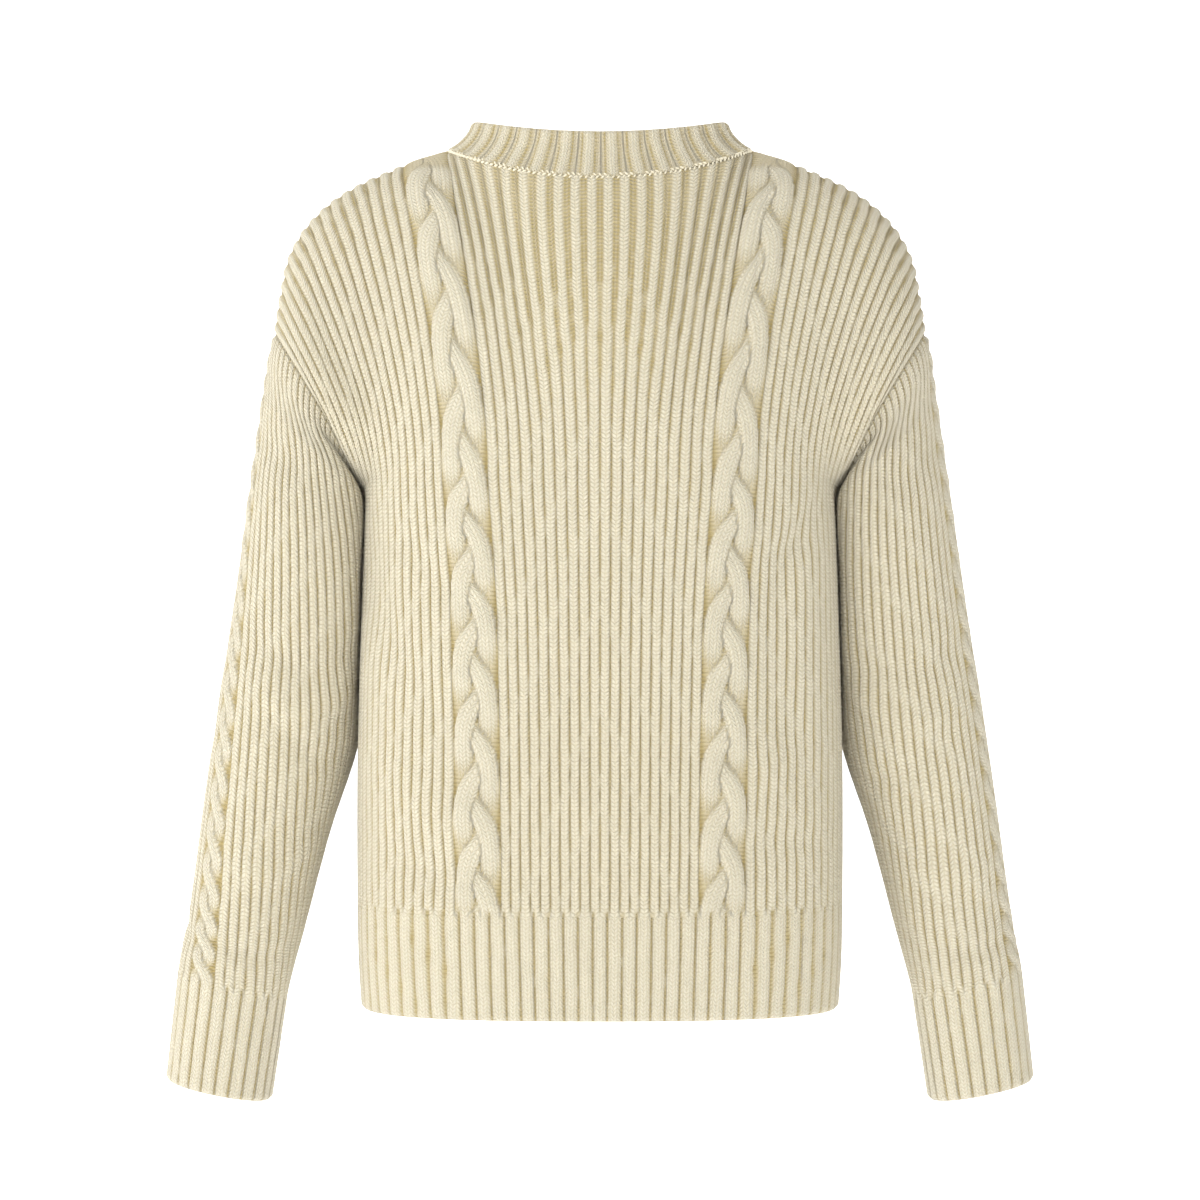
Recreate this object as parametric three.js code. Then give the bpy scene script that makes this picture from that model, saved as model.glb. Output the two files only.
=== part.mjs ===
import * as THREE from 'three';

// Cable knit sweater filled out as it is worn, with open neck, cuffs and hem.
// Millimetres, Z up. The front faces -Y and the back faces +Y.
// The origin is the middle of the neck opening, level with the top of the shoulders.

// Cloth
const WALL = 2.0;
const RIB_RISE = 1.5;
const CABLE_RISE = 3.6;
const SEAM_GAP = 0.3;
const UNDERARM_GAP = 0.9;
const UNDERARM_GAP_FROM = 0.05;
const UNDERARM_GAP_TO = 0.35;

// Ribs counted from the middle of a body panel to its side
const MIDDLE_RIBS = 10;
const CABLE_RIBS = 4.5;
const SIDE_RIBS = 16;
const CABLE_START = MIDDLE_RIBS;
const CABLE_END = MIDDLE_RIBS + CABLE_RIBS;
const PANEL_EDGE = MIDDLE_RIBS + CABLE_RIBS + SIDE_RIBS;
const CABLE_WIDTH = 33;
const CABLE_REPEAT = 51;
const CABLE_STRANDS = 3;

// Heights
const HEM_BOTTOM = -632;
const HEM_TOP = -558;
const UNDERARM = -245;

// Sections of the body below the arms
const BODY_SECTIONS = [
  { z: -632, halfWidth: 172, depth: 103, cableStart: 68 },
  { z: -600, halfWidth: 174, depth: 105, cableStart: 69 },
  { z: -558, halfWidth: 175, depth: 106, cableStart: 70 },
  { z: -450, halfWidth: 175, depth: 106, cableStart: 71 },
  { z: -333, halfWidth: 172, depth: 105, cableStart: 74 },
  { z: -245, halfWidth: 169, depth: 103, cableStart: 80 },
];
const BODY_SQUARENESS = 2.6;

// Line along the top of the shoulder, from the neck to the top of the armhole
const SHOULDER_LINE = [
  { x: 110, z: -2 },
  { x: 143, z: -14 },
  { x: 185, z: -33 },
  { x: 212, z: -55 },
  { x: 228, z: -82 },
  { x: 233.5, z: -112 },
  { x: 237, z: -138 },
];
const CABLE_ON_SHOULDER = 36;

// Neck seam and upper edge of the collar
const NECK = { halfWidth: 110, back: 68, front: 86, side: -3, backDrop: 26, frontDrop: 75 };
const COLLAR = { halfWidth: 91, back: 56, front: 72, side: 20, backDrop: 14, frontDrop: 61 };
const NECK_SQUARENESS = 2;
const NECK_DIP_BACK = 1.6;
const NECK_DIP_FRONT = 1.3;
const NECK_RIB_CROWDING = 0.06;
const COLLAR_RIBS = 30;
const COLLAR_RISE = 2.2;

// Way in which the cloth leaves the body tube and reaches the shoulder
const YOKE_LENGTH = 225;
const UNDERARM_FLARE = 8;
const UNDERARM_TURN = 14;
const FLARE_FROM_RIB = 24;
const SWIRL_FROM_RIB = 17;
const SWIRL_SHARPNESS = 1.4;
const NECK_BLEND_FROM_RIB = 4;
const CORNER_SOFTNESS = 4;
const CORNER_DEPTH = 5;
const ARMHOLE_START = { x: 30, y: 235, z: 90 };
const ARMHOLE_FINISH = { x: 0, y: -235, z: -10 };
const NECK_FINISH_BACK = { x: 0, y: -100, z: 175 };
const NECK_FINISH_FRONT = { x: 0, y: -30, z: 150 };
const SHOULDER_FINISH = { x: 0, y: -175, z: 10 };

// Direction out of the cloth at the armhole: at the underarm, at the middle and at the top
const ARMHOLE_LEAN = { lowX: 0.1, topX: 0.97, middleY: 1.1, lowZ: -1, topZ: 0.22 };
const ARMHOLE_LOW_END = 0.45;
const ARMHOLE_TOP_START = 0.25;
const ARMHOLE_MIDDLE_BIAS = 0.75;

// Part of a panel along the armhole where the cloth turns into that direction
const EDGE_BLEND_RIBS = 2.2;
const EDGE_BLEND_UP = 0.85;
const YOKE_MIDDLE = -190;

// Sections of the left sleeve: outer and inner point seen from behind, half depth, shift forward
const SLEEVE_SECTIONS = [
  { outX: 246.5, outZ: -184, inX: 166, inZ: -268, depth: 60, shift: 0 },
  { outX: 257, outZ: -255, inX: 165, inZ: -320, depth: 58, shift: -1 },
  { outX: 268, outZ: -333, inX: 168, inZ: -385, depth: 56, shift: -3 },
  { outX: 279.5, outZ: -407, inX: 180, inZ: -440, depth: 53, shift: -5 },
  { outX: 290, outZ: -481, inX: 204, inZ: -505, depth: 49, shift: -8 },
  { outX: 300, outZ: -555, inX: 222.5, inZ: -574, depth: 44, shift: -11 },
  { outX: 310, outZ: -611, inX: 236.5, inZ: -628, depth: 39, shift: -14 },
];
const CUFF_END = { outX: 319, outZ: -689, inX: 248, inZ: -704, depth: 36, shift: -17 };
const SLEEVE_SQUARENESS = 2.15;
const SLEEVE_RIBS = 36;
const SLEEVE_CABLE_RIBS = 2.5;
const SLEEVE_CABLE_REPEAT = 24;
const SLEEVE_LENGTH = 470;
const SLEEVE_CABLE_RISE = 2.6;

// The upper sleeve lies against the side of the body, at this distance between the insides
const SLEEVE_CLEARANCE = 7.5;
const SLEEVE_SOFTNESS = 7;
const SLEEVE_PRESS_RISE = 20;

// Way down the arm, and strength with which the cloth leaves the armhole seam for the sleeve
const SLEEVE_DIRECTION = { x: 0.6, y: 0, z: -0.8 };
const FIRST_ARRIVAL = 0.4;
const FIRST_DEPARTURE = 0.6;
const EVEN_PACE = 0.5;

// Place of the cable at the armhole and at the cuff, as shares of a full turn towards the back,
// and lean of the upper sleeve towards the front
const LEFT_ARM = { side: 1, cableTop: 0, cableCuff: 0.17, lean: 16 };
const RIGHT_ARM = { side: -1, cableTop: 0.055, cableCuff: 0.08, lean: 18 };
const SEAM_BLEND = 0.35;
const SLEEVE_DOWNS = [0, 0.15, 0.4, 1, 2, 3.5, 5, 6, 7];
const SLEEVE_INSIDE_DOWNS = [0, 0.2, 0.6, 1.5, 3, 5, 7];
const SLEEVE_INSIDE_COLUMNS = 14;
const SLEEVE_CABLE_STEPS = 3;
const SLEEVE_CABLE_ACROSS = [-1, -0.5, 0, 0.5, 1];

// Ribbing of hem and cuffs
const HEM_RIBS = 41;
const HEM_RISE = 1.7;
const CUFF_RIBS = 24;
const HEM_INSIDE_COLUMNS = 20;

// Two stitches up and two down: places across one rib of the collar and their height
const COLLAR_RIB_SHAPE = [[0.26, 0], [0.36, 1], [0.64, 1], [0.74, 0]];
const COLLAR_INSIDE_COLUMNS = 32;
const COLLAR_LEAVE = 0.8;
const COLLAR_BLEND = 0.5;
const COLLAR_STAND = 60;

// Direction out of the cloth on top of the shoulder, beside the neck
const SHOULDER_TOP_OUT = { x: 0.4, y: 0, z: 0.92 };
const SHOULDER_BLEND_START = 0.6;

// Colours
const CREAM = 0xe3dcc0;
const CREAM_RIB = 0xe0d8ba;

function smooth(value, low, high) {
  const share = Math.min(1, Math.max(0, (value - low) / (high - low)));
  return share * share * (3 - 2 * share);
}

function mix(a, b, share) {
  return a + (b - a) * share;
}

function vector(parts) {
  return new THREE.Vector3(parts.x, parts.y, parts.z);
}

// Value of a table column at a height, by a smooth curve through its rows
function tableValue(rows, keyColumn, key, column) {
  const rising = rows[rows.length - 1][keyColumn] > rows[0][keyColumn];
  const place = (value) => (rising ? value : -value);
  let low = 0;
  while (low < rows.length - 2 && place(rows[low + 1][keyColumn]) < place(key)) {
    low += 1;
  }
  const a = rows[low];
  const b = rows[low + 1];
  const before = rows[Math.max(0, low - 1)];
  const after = rows[Math.min(rows.length - 1, low + 2)];
  const span = b[keyColumn] - a[keyColumn];
  const share = Math.min(1, Math.max(0, (key - a[keyColumn]) / span));
  const slopeA = (b[column] - before[column]) / (b[keyColumn] - before[keyColumn]);
  const slopeB = (after[column] - a[column]) / (after[keyColumn] - a[keyColumn]);
  return hermite(a[column], slopeA * span, b[column], slopeB * span, share);
}

function hermite(start, startSlope, end, endSlope, share) {
  const s2 = share * share;
  const s3 = s2 * share;
  return (
    (2 * s3 - 3 * s2 + 1) * start +
    (s3 - 2 * s2 + share) * startSlope +
    (3 * s2 - 2 * s3) * end +
    (s3 - s2) * endSlope
  );
}

function hermitePoint(start, leave, end, arrive, share) {
  return new THREE.Vector3(
    hermite(start.x, leave.x, end.x, arrive.x, share),
    hermite(start.y, leave.y, end.y, arrive.y, share),
    hermite(start.z, leave.z, end.z, arrive.z, share),
  );
}

// Quarter of a rounded section, from its middle to its side, measured along the curve
const sectionCache = new Map();
function sectionQuarter(halfWidth, depth, squareness) {
  const name = `${halfWidth.toFixed(3)} ${depth.toFixed(3)} ${squareness}`;
  if (sectionCache.has(name)) {
    return sectionCache.get(name);
  }
  const steps = 72;
  const curve = [];
  let run = 0;
  for (let i = 0; i <= steps; i += 1) {
    const angle = (Math.PI / 2) * (i / steps);
    const x = halfWidth * Math.pow(Math.sin(angle), 2 / squareness);
    const y = depth * Math.pow(Math.abs(Math.cos(angle)), 2 / squareness);
    if (i > 0) {
      const last = curve[i - 1];
      run += Math.hypot(x - last.x, y - last.y);
    }
    curve.push({ run, x, y: i === steps ? 0 : y });
  }
  sectionCache.set(name, curve);
  return curve;
}

function alongCurve(curve, run) {
  let low = 0;
  while (low < curve.length - 2 && curve[low + 1].run < run) {
    low += 1;
  }
  const a = curve[low];
  const b = curve[low + 1];
  const share = (run - a.run) / (b.run - a.run);
  return { x: mix(a.x, b.x, share), y: mix(a.y, b.y, share) };
}

// Point of the body tube below the arms
function bodyTube(rib, z) {
  const halfWidth = tableValue(BODY_SECTIONS, 'z', z, 'halfWidth');
  const depth = tableValue(BODY_SECTIONS, 'z', z, 'depth');
  const cableStart = tableValue(BODY_SECTIONS, 'z', z, 'cableStart');
  const curve = sectionQuarter(halfWidth, depth, BODY_SQUARENESS);
  const total = curve[curve.length - 1].run;
  const cableEnd = cableStart + CABLE_WIDTH;
  let run = (cableStart * rib) / CABLE_START;
  if (rib > CABLE_END) {
    run = cableEnd + ((total - cableEnd) * (rib - CABLE_END)) / SIDE_RIBS;
  } else if (rib > CABLE_START) {
    run = cableStart + (CABLE_WIDTH * (rib - CABLE_START)) / CABLE_RIBS;
  }
  const spot = alongCurve(curve, run);
  const rise = Math.min(1, Math.max(0, (z - UNDERARM + UNDERARM_TURN) / UNDERARM_TURN));
  const flare = UNDERARM_FLARE * (1 - Math.sqrt(1 - rise * rise)) * smooth(rib, FLARE_FROM_RIB, PANEL_EDGE);
  return new THREE.Vector3(spot.x + flare, spot.y, z);
}

// Point of a neck loop, from the middle of the back or front to the shoulder
function neckPoint(loop, share, front) {
  const depth = front ? loop.front : loop.back;
  const drop = front ? loop.frontDrop : loop.backDrop;
  const curve = sectionQuarter(loop.halfWidth, depth, NECK_SQUARENESS);
  const spot = alongCurve(curve, share * curve[curve.length - 1].run);
  const low = Math.pow(spot.y / depth, front ? NECK_DIP_FRONT : NECK_DIP_BACK);
  return new THREE.Vector3(spot.x, spot.y, loop.side - drop * low);
}

// Point of the shoulder line at a length measured from the neck
const shoulderCurve = SHOULDER_LINE.map((row) => ({ x: row.x, z: row.z, run: 0 }));
for (let i = 1; i < shoulderCurve.length; i += 1) {
  const last = shoulderCurve[i - 1];
  const now = shoulderCurve[i];
  now.run = last.run + Math.hypot(now.x - last.x, now.z - last.z);
}
const SHOULDER_LENGTH = shoulderCurve[shoulderCurve.length - 1].run;

function shoulderPoint(run) {
  const x = tableValue(shoulderCurve, 'run', run, 'x');
  const z = tableValue(shoulderCurve, 'run', run, 'z');
  return new THREE.Vector3(x, 0, z);
}

// Where a rib ends at the neck seam or on the shoulder
function ribTop(rib, front) {
  if (rib <= CABLE_START) {
    const share = rib / CABLE_START;
    return neckPoint(NECK, share - NECK_RIB_CROWDING * Math.sin(Math.PI * share), front);
  }
  if (rib <= CABLE_END) {
    return shoulderPoint((CABLE_ON_SHOULDER * (rib - CABLE_START)) / CABLE_RIBS);
  }
  const rest = SHOULDER_LENGTH - CABLE_ON_SHOULDER;
  return shoulderPoint(CABLE_ON_SHOULDER + (rest * (rib - CABLE_END)) / SIDE_RIBS);
}

// The same, with the corner between neck and shoulder rounded off
function softRibTop(rib, front) {
  const reach = Math.min(CORNER_SOFTNESS, PANEL_EDGE - rib);
  const sum = new THREE.Vector3();
  for (let i = -2; i <= 2; i += 1) {
    const near = rib + (reach * i) / 2;
    const top = ribTop(Math.abs(near), front);
    top.x *= near < 0 ? -1 : 1;
    sum.add(top);
  }
  return sum.multiplyScalar(1 / 5);
}

// Upper body: each rib leaves the tube at the underarm height and ends on the seam above it
function bodyYoke(rib, share, front) {
  const start = bodyTube(rib, UNDERARM);
  const end = softRibTop(rib, front).lerp(ribTop(rib, front), Math.pow(share, CORNER_DEPTH));
  const reach = start.distanceTo(end);
  const swirl = Math.pow(smooth(rib, SWIRL_FROM_RIB, PANEL_EDGE), SWIRL_SHARPNESS);
  const leave = new THREE.Vector3(0, 0, reach).lerp(vector(ARMHOLE_START), swirl);
  const neckFinish = vector(front ? NECK_FINISH_FRONT : NECK_FINISH_BACK);
  const arrive = neckFinish.lerp(vector(SHOULDER_FINISH), smooth(rib, NECK_BLEND_FROM_RIB, CABLE_END));
  arrive.lerp(vector(ARMHOLE_FINISH), smooth(rib, CABLE_END, PANEL_EDGE));
  return hermitePoint(start, leave, end, arrive, share);
}

// Plain inside of a body panel. Up runs from 0 at the hem rib through 1 at the underarm to 2
function panelInside(rib, up, front) {
  const count = Math.min(PANEL_EDGE, Math.abs(rib));
  const height = mix(HEM_TOP, UNDERARM, Math.min(1, up));
  const spot = up <= 1 ? bodyTube(count, height) : bodyYoke(count, Math.min(1, up - 1), front);
  const x = rib < 0 ? -spot.x : spot.x;
  const y = spot.y + SEAM_GAP / 2;
  return new THREE.Vector3(x, front ? -y : y, spot.z);
}

// Direction out of the cloth along the armhole seam, from the underarm to the shoulder
function armholeOut(share, sideSign, front) {
  const over = smooth(share, ARMHOLE_TOP_START, 1);
  const x = mix(ARMHOLE_LEAN.lowX, ARMHOLE_LEAN.topX, over);
  const y = Math.sin(Math.PI * Math.pow(share, ARMHOLE_MIDDLE_BIAS)) * ARMHOLE_LEAN.middleY;
  const z = mix(ARMHOLE_LEAN.lowZ, ARMHOLE_LEAN.topZ, smooth(share, 0, ARMHOLE_LOW_END));
  return new THREE.Vector3(x * sideSign, front ? -y : y, z).normalize();
}

// Small steps for directions: in ribs, in heights of a panel, in turns and in sleeve sections
const RIB_STEP = 0.4;
const UP_STEP = 0.01;
const TURN_STEP = 0.004;
const DOWN_STEP = 0.02;
const SEAM_MARGIN = 0.03;

// Direction out of the cloth of a surface given by two measures
function outward(surface, a, b, stepA, stepB, inside) {
  const alongA = surface(a + stepA, b).sub(surface(a - stepA, b));
  const alongB = surface(a, b + stepB).sub(surface(a, b - stepB));
  const out = alongA.cross(alongB).normalize();
  const from = surface(a, b).sub(inside);
  return out.dot(from) < 0 ? out.negate() : out;
}

function panelOut(rib, up, front) {
  const surface = (a, b) => panelInside(a, b, front);
  const limit = PANEL_EDGE - RIB_STEP - 0.2;
  const ribIn = Math.max(-limit, Math.min(limit, rib));
  const upIn = Math.max(2 * UP_STEP, Math.min(2 - 3 * UP_STEP, up));
  const height = upIn > 1 ? YOKE_MIDDLE : panelInside(ribIn, upIn, front).z;
  const out = outward(surface, ribIn, upIn, RIB_STEP, UP_STEP, new THREE.Vector3(0, 0, height));
  if (up > EDGE_BLEND_UP) {
    const near =
      smooth(Math.abs(rib), PANEL_EDGE - EDGE_BLEND_RIBS, PANEL_EDGE) * smooth(up, EDGE_BLEND_UP, 1);
    const seam = armholeOut(Math.max(0, up - 1), Math.sign(rib), front);
    out.lerp(seam, near).normalize();
  }
  return out;
}

function panelPoint(rib, up, front, rise) {
  return panelInside(rib, up, front).addScaledVector(panelOut(rib, up, front), rise);
}

// Mesh kept as a list of points and triangles
function newMesh() {
  return { points: [], triangles: [] };
}

function addPoint(mesh, point) {
  mesh.points.push(point);
  return mesh.points.length - 1;
}

// Strip of triangles between two lines of points that run the same way
function joinLines(mesh, first, second) {
  let a = 0;
  let b = 0;
  while (a < first.length - 1 || b < second.length - 1) {
    const nextA = a < first.length - 1 ? first[a + 1].at : Infinity;
    const nextB = b < second.length - 1 ? second[b + 1].at : Infinity;
    const moveA = b === second.length - 1 || (a < first.length - 1 && nextA <= nextB);
    if (moveA) {
      mesh.triangles.push([first[a].id, first[a + 1].id, second[b].id]);
      a += 1;
    } else {
      mesh.triangles.push([first[a].id, second[b + 1].id, second[b].id]);
      b += 1;
    }
  }
}

// One side of a wall: a line of points for each column, strips between the lines
function addSide(mesh, columns, place, closed) {
  const lines = columns.map((column) =>
    column.ups.map((up) => ({ at: up, id: addPoint(mesh, place(column, up)) })),
  );
  for (let i = 0; i + 1 < lines.length; i += 1) {
    joinLines(mesh, lines[i], lines[i + 1]);
  }
  if (closed) {
    joinLines(mesh, lines[lines.length - 1], lines[0]);
  }
  return lines;
}

function endLine(lines, columns, last) {
  return lines.map((line, i) => ({ at: columns[i].across, id: line[last ? line.length - 1 : 0].id }));
}

function closeLoop(line, fullTurn) {
  return line.concat([{ at: line[0].at + fullTurn, id: line[0].id }]);
}

// Row of inner points level with the outer columns, so that a seam follows its curve closely
function fineRow(mesh, outerColumns, innerPlace, up) {
  return outerColumns.map((column) => ({
    at: column.across,
    id: addPoint(mesh, innerPlace(column, up)),
  }));
}

// Closed wall from the columns of its outer and inner side. A fine end has its own inner row
function wall(outerColumns, innerColumns, outerPlace, innerPlace, options) {
  const { fullTurn, fineFirst, fineLast } = options;
  const closed = fullTurn > 0;
  const mesh = newMesh();
  const outer = addSide(mesh, outerColumns, outerPlace, closed);
  const firstInner = mesh.triangles.length;
  const coarse = innerColumns.map((column) => ({
    across: column.across,
    ups: column.ups.slice(fineFirst ? 1 : 0, fineLast ? -1 : undefined),
  }));
  const inner = addSide(mesh, coarse, innerPlace, closed);
  for (let i = firstInner; i < mesh.triangles.length; i += 1) {
    mesh.triangles[i].reverse();
  }
  const loop = (line) => (closed ? closeLoop(line, fullTurn) : line);
  const fineRows = [];
  for (const last of [false, true]) {
    const outerEnd = loop(endLine(outer, outerColumns, last));
    let innerEnd = loop(endLine(inner, coarse, last));
    if (last ? fineLast : fineFirst) {
      const ups = innerColumns[0].ups;
      const row = fineRow(mesh, outerColumns, innerPlace, ups[last ? ups.length - 1 : 0]);
      fineRows[last ? 1 : 0] = row;
      joinLines(mesh, last ? innerEnd : loop(row), last ? loop(row) : innerEnd);
      innerEnd = loop(row);
    }
    joinLines(mesh, last ? innerEnd : outerEnd, last ? outerEnd : innerEnd);
  }
  if (!closed) {
    for (const last of [false, true]) {
      const outerEdge = outer[last ? outer.length - 1 : 0];
      const innerEdge = inner[last ? inner.length - 1 : 0].slice();
      if (fineRows[0]) {
        const row = fineRows[0];
        innerEdge.unshift({ at: innerColumns[0].ups[0], id: row[last ? row.length - 1 : 0].id });
      }
      if (fineRows[1]) {
        const row = fineRows[1];
        innerEdge.push({ at: innerColumns[0].ups.at(-1), id: row[last ? row.length - 1 : 0].id });
      }
      joinLines(mesh, last ? outerEdge : innerEdge, last ? innerEdge : outerEdge);
    }
  }
  return mesh;
}

function meshVolume(mesh) {
  let volume = 0;
  for (const [a, b, c] of mesh.triangles) {
    const cross = mesh.points[b].clone().cross(mesh.points[c]);
    volume += mesh.points[a].dot(cross) / 6;
  }
  return volume;
}

function clothMaterial(colour) {
  return new THREE.MeshStandardMaterial({ color: colour, roughness: 0.95, metalness: 0 });
}

function named(name, mesh, colour) {
  if (meshVolume(mesh) < 0) {
    mesh.triangles.forEach((triangle) => triangle.reverse());
  }
  const geometry = new THREE.BufferGeometry();
  const values = mesh.points.flatMap((point) => [point.x, point.y, point.z]);
  geometry.setAttribute('position', new THREE.Float32BufferAttribute(values, 3));
  geometry.setIndex(mesh.triangles.flat());
  geometry.computeVertexNormals();
  const part = new THREE.Mesh(geometry, clothMaterial(colour));
  part.name = name;
  return part;
}

// Strands of a cable, as shares of its half width and of its height
const STRAND_SWING = 0.62;
const STRAND_HALF_WIDTH = 0.46;
const STRAND_HEIGHT = 0.72;
const STRAND_CROSSING = 0.28;

// Height of a cable of crossing strands. Across runs from -1 to 1, along counts repeats
function cableHeight(across, along, strands) {
  let top = 0;
  for (let strand = 0; strand < strands; strand += 1) {
    const turn = -2 * Math.PI * ((along + strand) / strands);
    const level = strands === CABLE_STRANDS ? Math.sin(2 * turn) : Math.cos(turn);
    const off = (across - STRAND_SWING * Math.sin(turn)) / STRAND_HALF_WIDTH;
    const body = 1 - off * off;
    if (body > 0) {
      top = Math.max(top, (STRAND_HEIGHT + STRAND_CROSSING * level) * Math.sqrt(body));
    }
  }
  return top;
}

// Heights along a rib column, and along a cable column
const RIB_UPS = [0, 0.36, 0.7, 0.95, 0.975, 1, 1.14, 1.3, 1.5, 1.7, 1.87, 2];
const MIDDLE_UPS = [0, 0.5, 1, 1.25, 1.5, 1.75, 2];
const INSIDE_RIBS = [0, 2.5, 5, 7.5, 10, 14.5, 18, 21, 24, 26.5, 28.5, PANEL_EDGE];
const INSIDE_UPS = [0, 0.4, 0.8, 0.95, 1, 1.18, 1.4, 1.6, 1.8, 2];
const ARMHOLE_STEPS = 22;
const CABLE_UPS_LOW = 34;
const CABLE_UPS_HIGH = 22;
const CABLE_ACROSS = [-1, -0.66, -0.33, 0, 0.33, 0.66, 1];

function cableUps() {
  const ups = [];
  for (let i = 0; i < CABLE_UPS_LOW; i += 1) {
    ups.push(i / CABLE_UPS_LOW);
  }
  for (let i = 0; i <= CABLE_UPS_HIGH; i += 1) {
    ups.push(1 + i / CABLE_UPS_HIGH);
  }
  return ups;
}

// Heights along the side and armhole edge of a panel, close together round the armhole
function edgeUps() {
  const ups = RIB_UPS.filter((up) => up < 1);
  for (let i = 0; i <= ARMHOLE_STEPS; i += 1) {
    ups.push(1 + i / ARMHOLE_STEPS);
  }
  return ups;
}

// Repeats of the cable pattern below a height of the panel
function cableRepeats(up) {
  const low = (UNDERARM - HEM_TOP) / CABLE_REPEAT;
  return up < 1 ? low * up : low + (YOKE_LENGTH / CABLE_REPEAT) * (up - 1);
}

function panelColumns() {
  const half = [];
  for (let rib = 0; rib < MIDDLE_RIBS; rib += 1) {
    if (rib > 0) {
      half.push({ across: rib, ups: MIDDLE_UPS, rise: () => WALL });
    }
    half.push({ across: rib + 0.5, ups: MIDDLE_UPS, rise: () => WALL + RIB_RISE });
  }
  const ups = cableUps();
  for (const spot of CABLE_ACROSS) {
    const across = CABLE_START + (CABLE_RIBS * (spot + 1)) / 2;
    const rise = (up) => WALL + CABLE_RISE * cableHeight(spot, cableRepeats(up), CABLE_STRANDS);
    half.push({ across, ups, rise: Math.abs(spot) === 1 ? () => WALL : rise });
  }
  for (let rib = 0; rib < SIDE_RIBS; rib += 1) {
    half.push({ across: CABLE_END + rib + 0.5, ups: RIB_UPS, rise: () => WALL + RIB_RISE });
    const grooveUps = rib === SIDE_RIBS - 1 ? edgeUps() : RIB_UPS;
    half.push({ across: CABLE_END + rib + 1, ups: grooveUps, rise: () => WALL });
  }
  const middle = [{ across: 0, ups: MIDDLE_UPS, rise: () => WALL }];
  const mirrored = half.map((column) => ({ ...column, across: -column.across })).reverse();
  return mirrored.concat(middle, half);
}

function panelInsideColumns() {
  const right = INSIDE_RIBS.map((across) => ({
    across,
    ups: across === PANEL_EDGE ? edgeUps() : INSIDE_UPS,
  }));
  const left = right.slice(1).map((column) => ({ ...column, across: -column.across }));
  return left.reverse().concat(right);
}

function bodyPanel(name, front) {
  const outer = (column, up) => panelPoint(column.across, up, front, column.rise(up));
  const inner = (column, up) => panelInside(column.across, up, front);
  const options = { fullTurn: 0, fineFirst: false, fineLast: true };
  return named(name, wall(panelColumns(), panelInsideColumns(), outer, inner, options), CREAM);
}

// Ribbed hem of one body panel
function hemInside(across, z, front) {
  const spot = bodyTube(Math.min(PANEL_EDGE, Math.abs(across) * PANEL_EDGE), z);
  const y = spot.y + SEAM_GAP / 2;
  return new THREE.Vector3(across < 0 ? -spot.x : spot.x, front ? -y : y, z);
}

function hemPoint(across, z, front, rise) {
  const surface = (a, b) => hemInside(a, b, front);
  const limit = 1 - 2 * UP_STEP;
  const acrossIn = Math.max(-limit, Math.min(limit, across));
  const out = outward(surface, acrossIn, z, UP_STEP, 1, new THREE.Vector3(0, 0, z));
  return hemInside(across, z, front).addScaledVector(out, rise);
}

function hemRib(name, front) {
  const ups = [HEM_BOTTOM, HEM_TOP - SEAM_GAP];
  const columns = [];
  for (let i = 0; i <= HEM_RIBS * 2; i += 1) {
    const rise = i % 2 === 0 ? WALL : WALL + HEM_RISE;
    columns.push({ across: i / HEM_RIBS - 1, ups, rise });
  }
  const insideColumns = [];
  for (let i = 0; i <= HEM_INSIDE_COLUMNS; i += 1) {
    insideColumns.push({ across: (2 * i) / HEM_INSIDE_COLUMNS - 1, ups });
  }
  const outer = (column, up) => hemPoint(column.across, up, front, column.rise);
  const inner = (column, up) => hemInside(column.across, up, front);
  const options = { fullTurn: 0, fineFirst: false, fineLast: false };
  return named(name, wall(columns, insideColumns, outer, inner, options), CREAM_RIB);
}

// Armhole seam of the left side. Turn runs from 0 at the underarm over the back to the top at 0.5
function armholePoint(turn) {
  const front = turn > 0.5;
  const share = front ? 2 - 2 * turn : 2 * turn;
  const spot = bodyYoke(PANEL_EDGE, Math.min(1, Math.max(0, share)), front);
  return new THREE.Vector3(spot.x, front ? -spot.y : spot.y, spot.z);
}

function armholeSeam(turn) {
  const front = turn > 0.5;
  const share = front ? 2 - 2 * turn : 2 * turn;
  const out = armholeOut(share, 1, front);
  const from = armholePoint(Math.max(0, turn - UP_STEP));
  const along = armholePoint(Math.min(1, turn + UP_STEP)).sub(from);
  const away = along.cross(out).normalize();
  if (away.dot(vector(SLEEVE_DIRECTION)) < 0) {
    away.negate();
  }
  const gap = mix(UNDERARM_GAP, SEAM_GAP, smooth(share, UNDERARM_GAP_FROM, UNDERARM_GAP_TO));
  return { point: armholePoint(turn).addScaledVector(away, gap), out, away };
}

// Half width of the body tube at a height and a distance from its middle plane
function bodySide(y, z) {
  const halfWidth = tableValue(BODY_SECTIONS, 'z', z, 'halfWidth');
  const depth = tableValue(BODY_SECTIONS, 'z', z, 'depth');
  const far = Math.min(1, Math.abs(y) / depth);
  return halfWidth * Math.pow(1 - Math.pow(far, BODY_SQUARENESS), 1 / BODY_SQUARENESS);
}

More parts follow.
